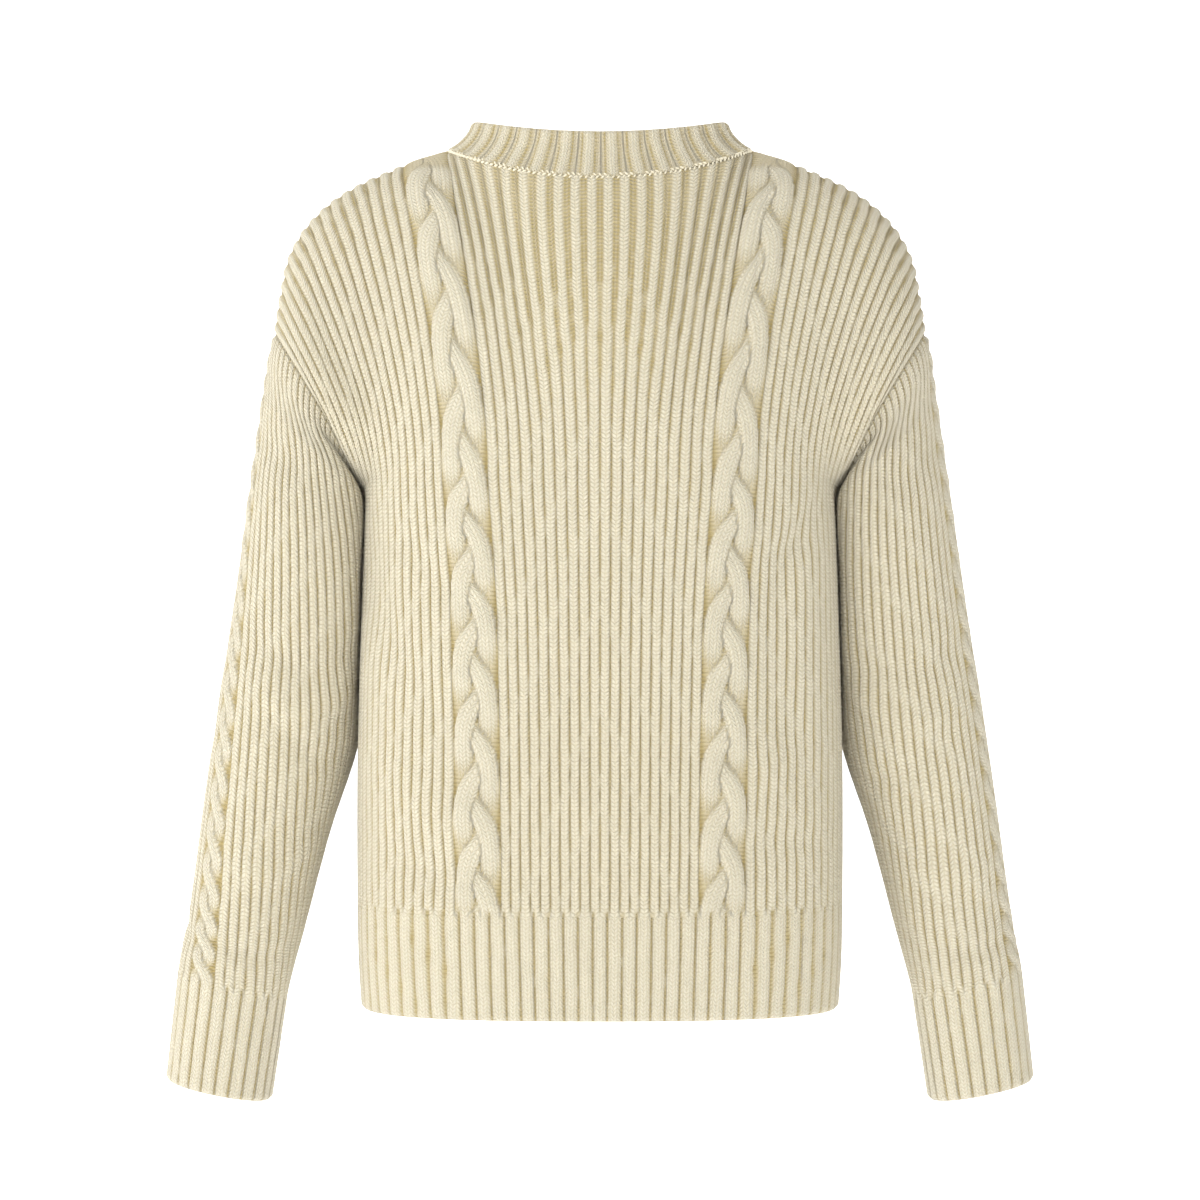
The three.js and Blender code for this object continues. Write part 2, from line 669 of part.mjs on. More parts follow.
// Rounded section of a sleeve on the left side, pressed flat where it meets the body
function sleeveSection(row, turn, lean) {
  const angle = 2 * Math.PI * turn;
  const round = (value) => Math.sign(value) * Math.pow(Math.abs(value), 2 / SLEEVE_SQUARENESS);
  const away = (1 - round(Math.cos(angle))) / 2;
  const back = round(Math.sin(angle));
  const x = mix(row.inX, row.outX, away);
  const z = mix(row.inZ, row.outZ, away);
  const y = row.shift - lean * smooth(row.outZ, HEM_BOTTOM, UNDERARM) + back * row.depth;
  const nearest = bodySide(y, Math.min(UNDERARM, z)) + SLEEVE_CLEARANCE;
  const pressed = (x + nearest + Math.hypot(x - nearest, SLEEVE_SOFTNESS)) / 2;
  const above = smooth(z, UNDERARM - SLEEVE_PRESS_RISE, UNDERARM);
  return new THREE.Vector3(mix(pressed, x, above), y, z);
}

// Inside of the left sleeve. Down counts the sections from 0 at the armhole seam
function sleeveInside(turn, down, lean) {
  const part = turn - Math.floor(turn);
  const ringAt = (index) => sleeveSection(SLEEVE_SECTIONS[index - 1], part, lean);
  const last = SLEEVE_SECTIONS.length;
  const low = Math.min(last - 1, Math.max(0, Math.floor(down)));
  const share = Math.min(1, Math.max(0, down - low));
  const end = ringAt(low + 1);
  const beyond = low + 2 <= last ? ringAt(low + 2) : sleeveSection(CUFF_END, part, lean);
  if (low === 0) {
    const seam = armholeSeam(part);
    const leave = seam.away.clone().multiplyScalar(seam.point.distanceTo(end));
    const arrive = beyond.sub(seam.point).multiplyScalar(FIRST_ARRIVAL);
    return hermitePoint(seam.point, leave, end, arrive, share);
  }
  const start = ringAt(low);
  const before = low > 1 ? ringAt(low - 1) : armholePoint(part);
  const leave = end.clone().sub(before).multiplyScalar(low > 1 ? EVEN_PACE : FIRST_DEPARTURE);
  const arrive = beyond.sub(start).multiplyScalar(EVEN_PACE);
  return hermitePoint(start, leave, end, arrive, share);
}

function sleeveMiddle(down, lean) {
  const a = sleeveInside(0.25, down, lean);
  return a.add(sleeveInside(0.75, down, lean)).multiplyScalar(0.5);
}

function sleevePoint(turn, down, lean, rise) {
  const last = SLEEVE_SECTIONS.length;
  const downIn = Math.max(SEAM_MARGIN, Math.min(last - UP_STEP, down));
  const surface = (a, b) => sleeveInside(a, b, lean);
  const out = outward(surface, turn, downIn, TURN_STEP, DOWN_STEP, sleeveMiddle(downIn, lean));
  if (down < SEAM_BLEND) {
    const part = turn - Math.floor(turn);
    out.lerp(armholeSeam(part).out, 1 - smooth(down, 0, SEAM_BLEND)).normalize();
  }
  if (down === last) {
    keepInCuffSeam(out);
  }
  return sleeveInside(turn, down, lean).addScaledVector(out, rise);
}

// Direction kept in the plane of the seam between sleeve and cuff
function keepInCuffSeam(out) {
  const row = SLEEVE_SECTIONS[SLEEVE_SECTIONS.length - 1];
  const across = new THREE.Vector3(row.outX - row.inX, 0, row.outZ - row.inZ);
  const axis = across.cross(new THREE.Vector3(0, 1, 0)).normalize();
  return out.addScaledVector(axis, -out.dot(axis)).normalize();
}

// Columns of the sleeve, from the underarm round to the underarm again
function sleeveColumns(handed) {
  const pitch = 1 / (SLEEVE_RIBS + SLEEVE_CABLE_RIBS);
  const half = SLEEVE_RIBS / 2;
  const columns = [];
  for (let rib = 0; rib < half; rib += 1) {
    columns.push({ across: rib * pitch, ups: SLEEVE_DOWNS, rise: () => WALL });
    columns.push({ across: (rib + 0.5) * pitch, ups: SLEEVE_DOWNS, rise: () => WALL + RIB_RISE });
  }
  const crossings = SLEEVE_LENGTH / SLEEVE_CABLE_REPEAT;
  const steps = Math.round(crossings * SLEEVE_CABLE_STEPS);
  const last = SLEEVE_SECTIONS.length;
  const ups = [];
  for (let i = 0; i <= steps; i += 1) {
    ups.push((last * i) / steps);
  }
  for (const spot of SLEEVE_CABLE_ACROSS) {
    const across = (half + (SLEEVE_CABLE_RIBS * (spot + 1)) / 2) * pitch;
    const height = (up) => cableHeight(spot, (handed * crossings * up) / last, 2);
    const rise = (up) => WALL + SLEEVE_CABLE_RISE * height(up);
    columns.push({ across, ups, rise: Math.abs(spot) === 1 ? () => WALL : rise });
  }
  for (let rib = 0; rib < half; rib += 1) {
    const from = (half + SLEEVE_CABLE_RIBS + rib) * pitch;
    columns.push({ across: from + pitch / 2, ups: SLEEVE_DOWNS, rise: () => WALL + RIB_RISE });
    if (rib < half - 1) {
      columns.push({ across: from + pitch, ups: SLEEVE_DOWNS, rise: () => WALL });
    }
  }
  return columns;
}

function sleeve(name, arm) {
  const last = SLEEVE_SECTIONS.length;
  const turned = (across, down) => across - mix(arm.cableTop, arm.cableCuff, down / last);
  const mirror = (point) => point.setX(point.x * arm.side);
  const outer = (column, up) =>
    mirror(sleevePoint(turned(column.across, up), up, arm.lean, column.rise(up)));
  const inner = (column, up) => mirror(sleeveInside(turned(column.across, up), up, arm.lean));
  const insideColumns = [];
  for (let i = 0; i < SLEEVE_INSIDE_COLUMNS; i += 1) {
    insideColumns.push({ across: i / SLEEVE_INSIDE_COLUMNS, ups: SLEEVE_INSIDE_DOWNS });
  }
  const options = { fullTurn: 1, fineFirst: true, fineLast: false };
  return named(name, wall(sleeveColumns(arm.side), insideColumns, outer, inner, options), CREAM);
}

// Cuff, knitted on at the end of the sleeve
function cuffInside(turn, down, lean) {
  const part = turn - Math.floor(turn);
  const start = sleeveSection(SLEEVE_SECTIONS[SLEEVE_SECTIONS.length - 1], part, lean);
  const end = sleeveSection(CUFF_END, part, lean);
  const gapShare = SEAM_GAP / start.distanceTo(end);
  return start.lerp(end, mix(gapShare, 1, down));
}

function cuffPoint(turn, down, lean, rise) {
  const surface = (a, b) => cuffInside(a, b, lean);
  const middle = surface(0.25, down).add(surface(0.75, down)).multiplyScalar(0.5);
  const out = outward(surface, turn, down, TURN_STEP, DOWN_STEP, middle);
  if (down === 0) {
    keepInCuffSeam(out);
  }
  return cuffInside(turn, down, lean).addScaledVector(out, rise);
}

function cuff(name, arm) {
  const mirror = (point) => point.setX(point.x * arm.side);
  const columns = [];
  for (let i = 0; i < CUFF_RIBS * 2; i += 1) {
    columns.push({ across: i / (2 * CUFF_RIBS), ups: [0, 1], rise: i % 2 ? WALL + HEM_RISE : WALL });
  }
  const insideColumns = [];
  for (let i = 0; i < SLEEVE_INSIDE_COLUMNS; i += 1) {
    insideColumns.push({ across: i / SLEEVE_INSIDE_COLUMNS, ups: [0, 1] });
  }
  const outer = (column, up) => mirror(cuffPoint(column.across, up, arm.lean, column.rise));
  const inner = (column, up) => mirror(cuffInside(column.across, up, arm.lean));
  const options = { fullTurn: 1, fineFirst: false, fineLast: false };
  return named(name, wall(columns, insideColumns, outer, inner, options), CREAM_RIB);
}

// Collar. Turn runs once round the neck from the middle of the back, towards the left side first
function neckSpot(loop, turn) {
  const quarter = Math.floor(turn * 4) % 4;
  const share = turn * 4 - quarter;
  const front = quarter === 1 || quarter === 2;
  const toSide = quarter === 0 || quarter === 2;
  const spot = neckPoint(loop, toSide ? share : 1 - share, front);
  const left = quarter < 2;
  return new THREE.Vector3(left ? spot.x : -spot.x, front ? -spot.y : spot.y, spot.z);
}

function neckSeam(turn) {
  const whole = turn - Math.floor(turn);
  const quarter = Math.floor(whole * 4) % 4;
  const share = whole * 4 - quarter;
  const front = quarter === 1 || quarter === 2;
  const toSide = quarter === 0 || quarter === 2 ? share : 1 - share;
  const sideSign = quarter < 2 ? 1 : -1;
  const rib = Math.min(CABLE_START - 0.5, toSide * CABLE_START) * sideSign;
  const out = panelOut(rib, 2, front);
  const shoulder = vector(SHOULDER_TOP_OUT).setX(SHOULDER_TOP_OUT.x * sideSign);
  out.lerp(shoulder, smooth(toSide, SHOULDER_BLEND_START, 1)).normalize();
  const point = neckSpot(NECK, whole);
  const before = neckSpot(NECK, (whole + 1 - UP_STEP) % 1);
  const along = neckSpot(NECK, (whole + UP_STEP) % 1).sub(before);
  const away = along.cross(out).normalize();
  if (away.dot(new THREE.Vector3(-point.x, -point.y, COLLAR_STAND)) < 0) {
    away.negate();
  }
  return { point: point.addScaledVector(away, SEAM_GAP), out, away };
}

function collarInside(turn, up) {
  const whole = turn - Math.floor(turn);
  const seam = neckSeam(whole);
  const top = neckSpot(COLLAR, whole);
  const reach = seam.point.distanceTo(top);
  const leave = seam.away.clone().multiplyScalar(reach * COLLAR_LEAVE);
  const arrive = new THREE.Vector3(0, 0, reach);
  return hermitePoint(seam.point, leave, top, arrive, up);
}

function collarPoint(turn, up, rise) {
  const upIn = Math.max(SEAM_MARGIN, Math.min(1 - SEAM_MARGIN, up));
  const middle = new THREE.Vector3(0, 0, collarInside(turn, upIn).z - COLLAR_STAND / 3);
  const out = outward(collarInside, turn, upIn, TURN_STEP, DOWN_STEP, middle);
  if (up < COLLAR_BLEND) {
    out.lerp(neckSeam(turn).out, 1 - smooth(up, 0, COLLAR_BLEND)).normalize();
  }
  return collarInside(turn, up).addScaledVector(out, rise);
}

function collar(name) {
  const ups = [0, 0.5, 1];
  const columns = [];
  for (let rib = 0; rib < COLLAR_RIBS; rib += 1) {
    for (const [spot, rise] of COLLAR_RIB_SHAPE) {
      columns.push({ across: (rib + spot) / COLLAR_RIBS, ups, rise: WALL + rise * COLLAR_RISE });
    }
  }
  const insideColumns = [];
  for (let i = 0; i < COLLAR_INSIDE_COLUMNS; i += 1) {
    insideColumns.push({ across: i / COLLAR_INSIDE_COLUMNS, ups });
  }
  const outer = (column, up) => collarPoint(column.across, up, column.rise);
  const inner = (column, up) => collarInside(column.across, up);
  const options = { fullTurn: 1, fineFirst: true, fineLast: false };
  return named(name, wall(columns, insideColumns, outer, inner, options), CREAM_RIB);
}

const sweater = new THREE.Group();
sweater.name = 'cable_knit_sweater';
sweater.add(bodyPanel('back', false));
sweater.add(bodyPanel('front', true));
sweater.add(hemRib('hem_rib_back', false));
sweater.add(hemRib('hem_rib_front', true));
sweater.add(sleeve('sleeve_left', LEFT_ARM));
sweater.add(sleeve('sleeve_right', RIGHT_ARM));
sweater.add(cuff('cuff_left', LEFT_ARM));
sweater.add(cuff('cuff_right', RIGHT_ARM));
sweater.add(collar('collar'));

export default sweater;
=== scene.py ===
import math

import bmesh
import bpy
import numpy as np
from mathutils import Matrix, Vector
from numpy.linalg import norm


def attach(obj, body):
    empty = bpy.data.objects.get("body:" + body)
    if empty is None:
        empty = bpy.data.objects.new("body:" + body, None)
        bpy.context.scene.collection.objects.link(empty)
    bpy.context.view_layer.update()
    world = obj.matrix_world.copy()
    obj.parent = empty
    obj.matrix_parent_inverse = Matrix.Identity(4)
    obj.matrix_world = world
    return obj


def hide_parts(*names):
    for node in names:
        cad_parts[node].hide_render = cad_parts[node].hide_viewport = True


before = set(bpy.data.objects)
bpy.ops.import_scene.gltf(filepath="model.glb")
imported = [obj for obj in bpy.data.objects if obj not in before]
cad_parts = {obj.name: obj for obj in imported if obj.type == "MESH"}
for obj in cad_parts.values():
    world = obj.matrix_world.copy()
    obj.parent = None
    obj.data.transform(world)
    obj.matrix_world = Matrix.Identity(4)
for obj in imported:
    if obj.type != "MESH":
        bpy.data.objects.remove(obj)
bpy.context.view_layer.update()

# Cable knit sweater seen from behind. Sizes are in millimetres and are turned into metres
# when a mesh is made. The front faces -Y, the back faces +Y and the photograph's camera.
MM = 0.001
rng = np.random.default_rng(7)

# Cloth
WALL = 2.0
RIB_RISE = 1.75
RIB_HALF_WIDTH = 3.9
RIB_SHARE = 0.482
# Purl stitches in narrow grooves: their painted brightness, which leaves the grooves in painted
# shade, then their height and where they show
PURL_BRIGHTNESS = 0.32
PURL_HEIGHT = 0.24
PURL_GROOVE = (0.4, 1.6)
PURL_EDGE = (0.1, 0.7)
WALE_WIDTH = 2 * RIB_HALF_WIDTH + 0.4
# Wide grooves: painted brightness of their purl stitches, which leaves the rest in painted shade
WIDE_PURL_BRIGHTNESS = 0.72
WIDE_PURL_GROOVE = (0.6, 3.5)
WIDE_PURL_EDGE = (0.05, 0.5)
WIDE_RIB_SHARE = 0.47
CABLE_RISE = 4.5
COURSE = 2.9

# Ribs counted from the middle of a body panel to its side
MIDDLE_RIBS = 10
CABLE_RIBS = 4.5
SIDE_RIBS = 16
CABLE_START = MIDDLE_RIBS
CABLE_END = MIDDLE_RIBS + CABLE_RIBS
PANEL_EDGE = MIDDLE_RIBS + CABLE_RIBS + SIDE_RIBS
CABLE_WIDTH = 33
CABLE_REPEAT = 51
CABLE_GROUP = 99

# Strands of plait and rope, as shares of half the cable's width and of its height
PLAIT_SWING = 0.56
PLAIT_SNAP = 1.6
PLAIT_CROSSING = 0.36
PLAIT_STRAND_HALF = 0.46
ROPE_SWING = 0.5
ROPE_CROSSING = 0.4
ROPE_STRAND_HALF = 0.5
ROPE_STEEPNESS = 0.7
STRAND_FLATNESS = 3.0
STRAND_LEVEL = 0.72
# Painted shadow on a strand that lies under another: share of brightness it takes, and the height
# step over which it fades
STRAND_SHADOW = 0.6
STRAND_SHADOW_STEP = 0.2

# Heights
HEM_BOTTOM = -632
HEM_TOP = -558
UNDERARM = -245

# Sections of the body below the arms: height, half width, half depth, start of the cable
BODY_SECTIONS = {
    "z": (-632, -600, -558, -450, -333, -245),
    "half_width": (172, 174, 175, 175, 172, 169),
    "depth": (103, 105, 106, 106, 105, 103),
    "cable_start": (68, 69, 70, 71, 74, 80),
}
BODY_SQUARENESS = 2.6

# Line along the top of the shoulder
SHOULDER_X = (110, 143, 185, 212, 228, 233.5, 237)
SHOULDER_Z = (-2, -14, -33, -55, -82, -112, -138)
CABLE_ON_SHOULDER = 36

# Neck seam and upper edge of the collar
NECK = dict(half_width=110, back=68, front=86, side=-3, back_drop=26, front_drop=75)
COLLAR = dict(half_width=91, back=56, front=72, side=20, back_drop=14, front_drop=61)
NECK_DIP_BACK = 1.6
NECK_DIP_FRONT = 1.3
NECK_RIB_CROWDING = 0.06
COLLAR_RIBS = 30
COLLAR_RISE = 2.4
COLLAR_LEAVE = 0.8

# Way in which the cloth leaves the body tube and reaches the shoulder
UNDERARM_FLARE = 8
UNDERARM_TURN = 14
CORNER_SOFTNESS = 4
CORNER_DEPTH = 5
ARMHOLE_START = np.array((30, 235, 90))
ARMHOLE_FINISH = np.array((0, -235, -10))
NECK_FINISH_BACK = np.array((0, -100, 175))
NECK_FINISH_FRONT = np.array((0, -30, 150))
SHOULDER_FINISH = np.array((0, -175, 10))
ARMHOLE_SIDEWAYS = (0.1, 0.97)
ARMHOLE_UPWARDS = (0.22, -1)
ARMHOLE_BULGE = 1.1

# Sections of the left sleeve: outer and inner point seen from behind, half depth, shift forward
SLEEVE_SECTIONS = np.array((
    (246.5, -184, 166, -268, 60, 0),
    (257, -255, 165, -320, 58, -1),
    (268, -333, 168, -385, 56, -3),
    (279.5, -407, 180, -440, 53, -5),
    (290, -481, 204, -505, 49, -8),
    (300, -555, 222.5, -574, 44, -11),
    (310, -611, 236.5, -628, 39, -14),
), dtype=float)
CUFF_END = np.array((319, -689, 248, -704, 36, -17), dtype=float)

# The upper sleeve lies against the side of the body, at this distance between the insides
SLEEVE_CLEARANCE = 7.5
SLEEVE_SOFTNESS = 7
SLEEVE_PRESS_RISE = 20

SLEEVE_SQUARENESS = 2.15
SLEEVE_PITCH = 7.4
SLEEVE_SIDE_RIBS = 28
SLEEVE_CABLE_HALF = 10.5
SLEEVE_CABLE_REPEAT = 24
SLEEVE_LENGTH = 470
SLEEVE_CABLE_RISE = 2.8

# Turn of the cable towards the back, as a share of a full turn from armhole to cuff, and lean
# of the upper sleeve towards the front
SIDES = {"left": 1, "right": -1}
SLEEVE_TURNS = {"left": (0, 0.17), "right": (0.055, 0.08)}
SLEEVE_LEANS = {"left": 16, "right": 18}
SEAM_BLEND = 0.35
SLEEVE_AWAY = (0.6, 0, -0.8)
SLEEVE_TENSION = 0.5
SLEEVE_START_TENSION = 0.6
SLEEVE_FIRST_TENSION = 0.4

# Ribbing, with two wales of plain stitches on each rib
RIBBING_WALES = 2
HEM_RIBS = 41
HEM_RISE = 1.8
CUFF_RIBS = 24
HEM_RIB_HALF = 5.0
CUFF_RIB_HALF = 4.6
COLLAR_RIB_HALF = 4.5

# Wander of the ribs: growth from the edge, then slow and quick waves, all in mm
WOBBLE = 0.28
WOBBLE_GROWTH = 12
SLOW_WAVE = 0.09
QUICK_WAVE = 0.27
QUICK_SHARE = 0.6

# Profiles of the narrow and the wide ribs
RIB_FLATNESS = 2.9
WIDE_RIB_FLATNESS = 5
COLLAR_RIB_FLATNESS = 2.6
RIB_ROUNDING = 0.55
LEAST_GROOVE = 0.2
LEAST_PITCH = 3.0

# Detail of the meshes: steps of a rib, of a cable and of the rows, and rows and columns of the
# outer side for each one of the plain inner side
RIB_STEPS = np.array((0, 0.13, 0.3, 0.5, 0.7, 0.87))
CABLE_STEPS = 24
SLEEVE_CABLE_STEPS = 10
RIBBING_STEPS = 8
COLLAR_STEPS = 14
RING_STEPS = 240
ROW_STEP = 2.5
HEM_ROWS = 32
CUFF_ROWS = 30
COLLAR_ROWS = 20
INNER_STEP = 4
FINE_INNER_STEP = 3
SHARP_ANGLE = math.radians(75)
WELD_DISTANCE = 0.00002
CREASE_MARGIN_RIBS = 6

# Height of the yoke along the cloth, and of its middle
YOKE_LENGTH = 225
YOKE_MIDDLE = -190

# Painted shade of the plain inside, as the share of brightness its colour keeps, and the lip at a
# knitted end: rise and depth in mm
INSIDE_BRIGHTNESS = 0.35
LIP_LENGTH = 2.5
LIP_RISE_SHARE = 0.35
LIP_DEPTH = 0.9

# Length over which the ribs of two pieces change into each other at a joint
JOINT = (1, 7)

# Length over which the ribs sink at a side or armhole seam and at the neck, with the share of
# their rise left there, and where the plaits run out into plain cloth below the shoulder
SEAM_TAPER = 3.5
NECK_TAPER = 4
NECK_RISE_SHARE = 0.25
INNER_SEAM_TAPER = 2.5
CABLE_ENDS = (1.84, 1.9)
CABLE_END_RISE = 0.4

# Fibres of the nap
FIBRE_HALF_WIDTH = 0.055
FIBRE_LENGTHS = (1.6, 4.6)
FIBRE_SCATTER = 0.8
FIBRE_ROOT = 0.7
FIBRE_BEND_AT = 0.55


def smooth(value, low, high):
    share = np.clip((np.asarray(value, float) - low) / (high - low), 0, 1)
    return share * share * (3 - 2 * share)


def mix(a, b, share):
    return a + (b - a) * share


def running(steps):
    return np.concatenate(([0], np.cumsum(steps)))


def hermite(start, leave, end, arrive, share):
    s2 = share * share
    s3 = s2 * share
    return ((2 * s3 - 3 * s2 + 1) * start + (s3 - 2 * s2 + share) * leave
            + (3 * s2 - 2 * s3) * end + (s3 - s2) * arrive)


def table_value(keys, values, key):
    keys = np.asarray(keys, float)
    values = np.asarray(values, float)
    key = np.asarray(key, float)
    low = np.clip(np.searchsorted(keys, key, side="left") - 1, 0, len(keys) - 2)
    before = np.maximum(low - 1, 0)
    after = np.minimum(low + 2, len(keys) - 1)
    span = keys[low + 1] - keys[low]
    share = np.clip((key - keys[low]) / span, 0, 1)
    slope_a = (values[low + 1] - values[before]) / (keys[low + 1] - keys[before])
    slope_b = (values[after] - values[low]) / (keys[after] - keys[low])
    return hermite(values[low], slope_a * span, values[low + 1], slope_b * span, share)


def section_quarter(half_width, depth, squareness):
    angle = np.linspace(0, math.pi / 2, 73)
    x = half_width * np.sin(angle) ** (2 / squareness)
    y = depth * np.abs(np.cos(angle)) ** (2 / squareness)
    y[-1] = 0
    return running(np.hypot(np.diff(x), np.diff(y))), x, y


def body_tube(ribs, z):
    """Row of the body tube at height z, for ribs counted from the middle."""
    half_width, depth, cable_start = (
        float(table_value(BODY_SECTIONS["z"], BODY_SECTIONS[name], z))
        for name in ("half_width", "depth", "cable_start"))
    run, x, y = section_quarter(half_width, depth, BODY_SQUARENESS)
    cable_end = cable_start + CABLE_WIDTH
    places = np.interp(ribs, (0, CABLE_START, CABLE_END, PANEL_EDGE),
                       (0, cable_start, cable_end, run[-1]))
    rise = min(1, max(0, (z - UNDERARM + UNDERARM_TURN) / UNDERARM_TURN))
    flare = UNDERARM_FLARE * (1 - math.sqrt(1 - rise * rise)) * smooth(ribs, 24, PANEL_EDGE)
    return np.stack((np.interp(places, run, x) + flare, np.interp(places, run, y),
                     np.full_like(places, z)), axis=-1)


def neck_point(loop, share, front):
    depth = loop["front"] if front else loop["back"]
    drop = loop["front_drop"] if front else loop["back_drop"]
    run, x, y = section_quarter(loop["half_width"], depth, 2)
    place = np.asarray(share, float) * run[-1]
    spot_y = np.interp(place, run, y)
    low = (spot_y / depth) ** (NECK_DIP_FRONT if front else NECK_DIP_BACK)
    return np.stack((np.interp(place, run, x), spot_y, loop["side"] - drop * low), axis=-1)


SHOULDER_RUN = running(np.hypot(np.diff(SHOULDER_X), np.diff(SHOULDER_Z)))


def rib_top(ribs, front):
    share = np.clip(ribs / CABLE_START, 0, 1)
    neck = neck_point(NECK, share - NECK_RIB_CROWDING * np.sin(math.pi * share), front)
    run = np.interp(ribs, (CABLE_START, CABLE_END, PANEL_EDGE),
                    (0, CABLE_ON_SHOULDER, SHOULDER_RUN[-1]))
    shoulder = np.stack((table_value(SHOULDER_RUN, SHOULDER_X, run), np.zeros_like(run),
                         table_value(SHOULDER_RUN, SHOULDER_Z, run)), axis=-1)
    return np.where((ribs <= CABLE_START)[..., None], neck, shoulder)


def soft_rib_top(ribs, front):
    reach = np.minimum(CORNER_SOFTNESS, PANEL_EDGE - ribs)
    total = 0
    for step in (-2, -1, 0, 1, 2):
        near = ribs + reach * step / 2
        top = rib_top(np.abs(near), front)
        top[..., 0] *= np.where(near < 0, -1, 1)
        total = total + top
    return total / 5


def body_yoke(ribs, share, front):
    """Points above the underarm; ribs and share have the same shape."""
    start = body_tube(ribs.ravel(), UNDERARM).reshape(ribs.shape + (3,))
    top = rib_top(ribs, front)
    end = mix(soft_rib_top(ribs, front), top, (share ** CORNER_DEPTH)[..., None])
    reach = norm(end - start, axis=-1)
    swirl = (smooth(ribs, 17, PANEL_EDGE) ** 1.4)[..., None]
    up = reach[..., None] * (0, 0, 1)
    leave = mix(up, ARMHOLE_START, swirl)
    neck_finish = NECK_FINISH_FRONT if front else NECK_FINISH_BACK
    arrive = mix(neck_finish, SHOULDER_FINISH, smooth(ribs, 4, CABLE_END)[..., None])
    arrive = mix(arrive, ARMHOLE_FINISH, smooth(ribs, CABLE_END, PANEL_EDGE)[..., None])
    return hermite(start, leave, end, arrive, share[..., None])


def panel_base(ribs, ups, front):
    """Inside of a body panel: a row for each of ups, a column for each of ribs."""
    count = np.minimum(np.abs(ribs), PANEL_EDGE)
    rows = []
    for up in ups:
        if up <= 1:
            rows.append(body_tube(count, mix(HEM_TOP, UNDERARM, up)))
        else:
            rows.append(body_yoke(count, np.full_like(count, up - 1), front))
    grid = np.array(rows)
    grid[..., 0] *= np.where(ribs < 0, -1, 1)
    if front:
        grid[..., 1] *= -1
    return grid


def armhole_out(share, side, front):
    """Outward direction along the armhole, from the underarm to the shoulder."""
    x = mix(*ARMHOLE_SIDEWAYS, smooth(share, 0.25, 1)) * side
    y = np.sin(math.pi * share ** 0.75) * ARMHOLE_BULGE * (-1 if front else 1)
    z = mix(*ARMHOLE_UPWARDS, 1 - smooth(share, 0, 0.45))
    return unit(np.stack((x, y, z), axis=-1))


def unit(vectors):
    length = norm(vectors, axis=-1, keepdims=True)
    return vectors / np.maximum(length, 1e-9)


def grid_normals(grid, closed, middle):
    """Outward directions of a grid of points, away from the given middle line."""
    down = np.gradient(grid, axis=0)
    if closed:
        across = (np.roll(grid, -1, axis=1) - np.roll(grid, 1, axis=1)) / 2
    else:
        across = np.gradient(grid, axis=1)
    out = unit(np.cross(across, down))
    facing = np.sum(out * (grid - middle), axis=-1)
    return out if np.median(facing) > 0 else -out


def column_lengths(grid):
    step = norm(np.diff(grid, axis=0), axis=-1)
    return np.concatenate((np.zeros((1, grid.shape[1])), np.cumsum(step, axis=0)))


def strand_field(across, along, strands):
    """Height of crossing strands, their painted light and the knit coordinate of the top one."""
    top = np.zeros(np.broadcast(across, along).shape)
    second = np.zeros_like(top)
    wale = np.zeros_like(top)
    for strand in range(strands):
        turn = -2 * math.pi * (along + strand) / strands
        wave = np.sin(turn)
        if strands == 3:
            middle = PLAIT_SWING * np.tanh(PLAIT_SNAP * wave) / math.tanh(PLAIT_SNAP)
            level = PLAIT_CROSSING * np.sin(2 * turn)
            snap = PLAIT_SNAP / np.cosh(PLAIT_SNAP * wave) ** 2 / math.tanh(PLAIT_SNAP)
            slope = PLAIT_SWING * snap * np.cos(turn) * math.pi * CABLE_WIDTH / CABLE_REPEAT / 3
            half = PLAIT_STRAND_HALF * np.hypot(1, slope)
        else:
            middle = ROPE_SWING * wave
            level = ROPE_CROSSING * np.cos(turn)
            half = ROPE_STRAND_HALF * np.hypot(1, ROPE_STEEPNESS * np.cos(turn))
        off = (across - middle) / half
        height = (STRAND_LEVEL + level) * np.maximum(0, 1 - np.abs(off) ** STRAND_FLATNESS) ** 0.5
        above = height > top
        second = np.where(above, top, np.maximum(second, height))
        top = np.where(above, height, top)
        wale = np.where(above, off * (1.5 if strands == 3 else 1.0), wale)
    # Painted shadow where a strand lies under another, and painted shade towards the strands'
    # edges
    lapped = smooth(second, 0.02, 0.2) * (1 - smooth(top - second, 0, STRAND_SHADOW_STEP))
    return top, smooth(top, 0.05, 0.7) * (1 - STRAND_SHADOW * lapped), wale


def shade_smooth(mesh):
    mesh.polygons.foreach_set("use_smooth", [True] * len(mesh.polygons))


def placed(name, data):
    made = bpy.data.objects.new(name, data)
    bpy.context.scene.collection.objects.link(made)
    return made


def garment_piece(mesh, material):
    mesh.materials.append(material)
    made = placed(mesh.name, mesh)
    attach(made, "root")
    return made


def clean_mesh(mesh):
    """Welds points that coincide, drops empty faces and turns every face outwards."""
    work = bmesh.new()
    work.from_mesh(mesh)
    bmesh.ops.remove_doubles(work, verts=work.verts, dist=WELD_DISTANCE)
    bmesh.ops.dissolve_degenerate(work, edges=work.edges, dist=WELD_DISTANCE / 2)
    bmesh.ops.recalc_face_normals(work, faces=work.faces)
    work.to_mesh(mesh)
    work.free()


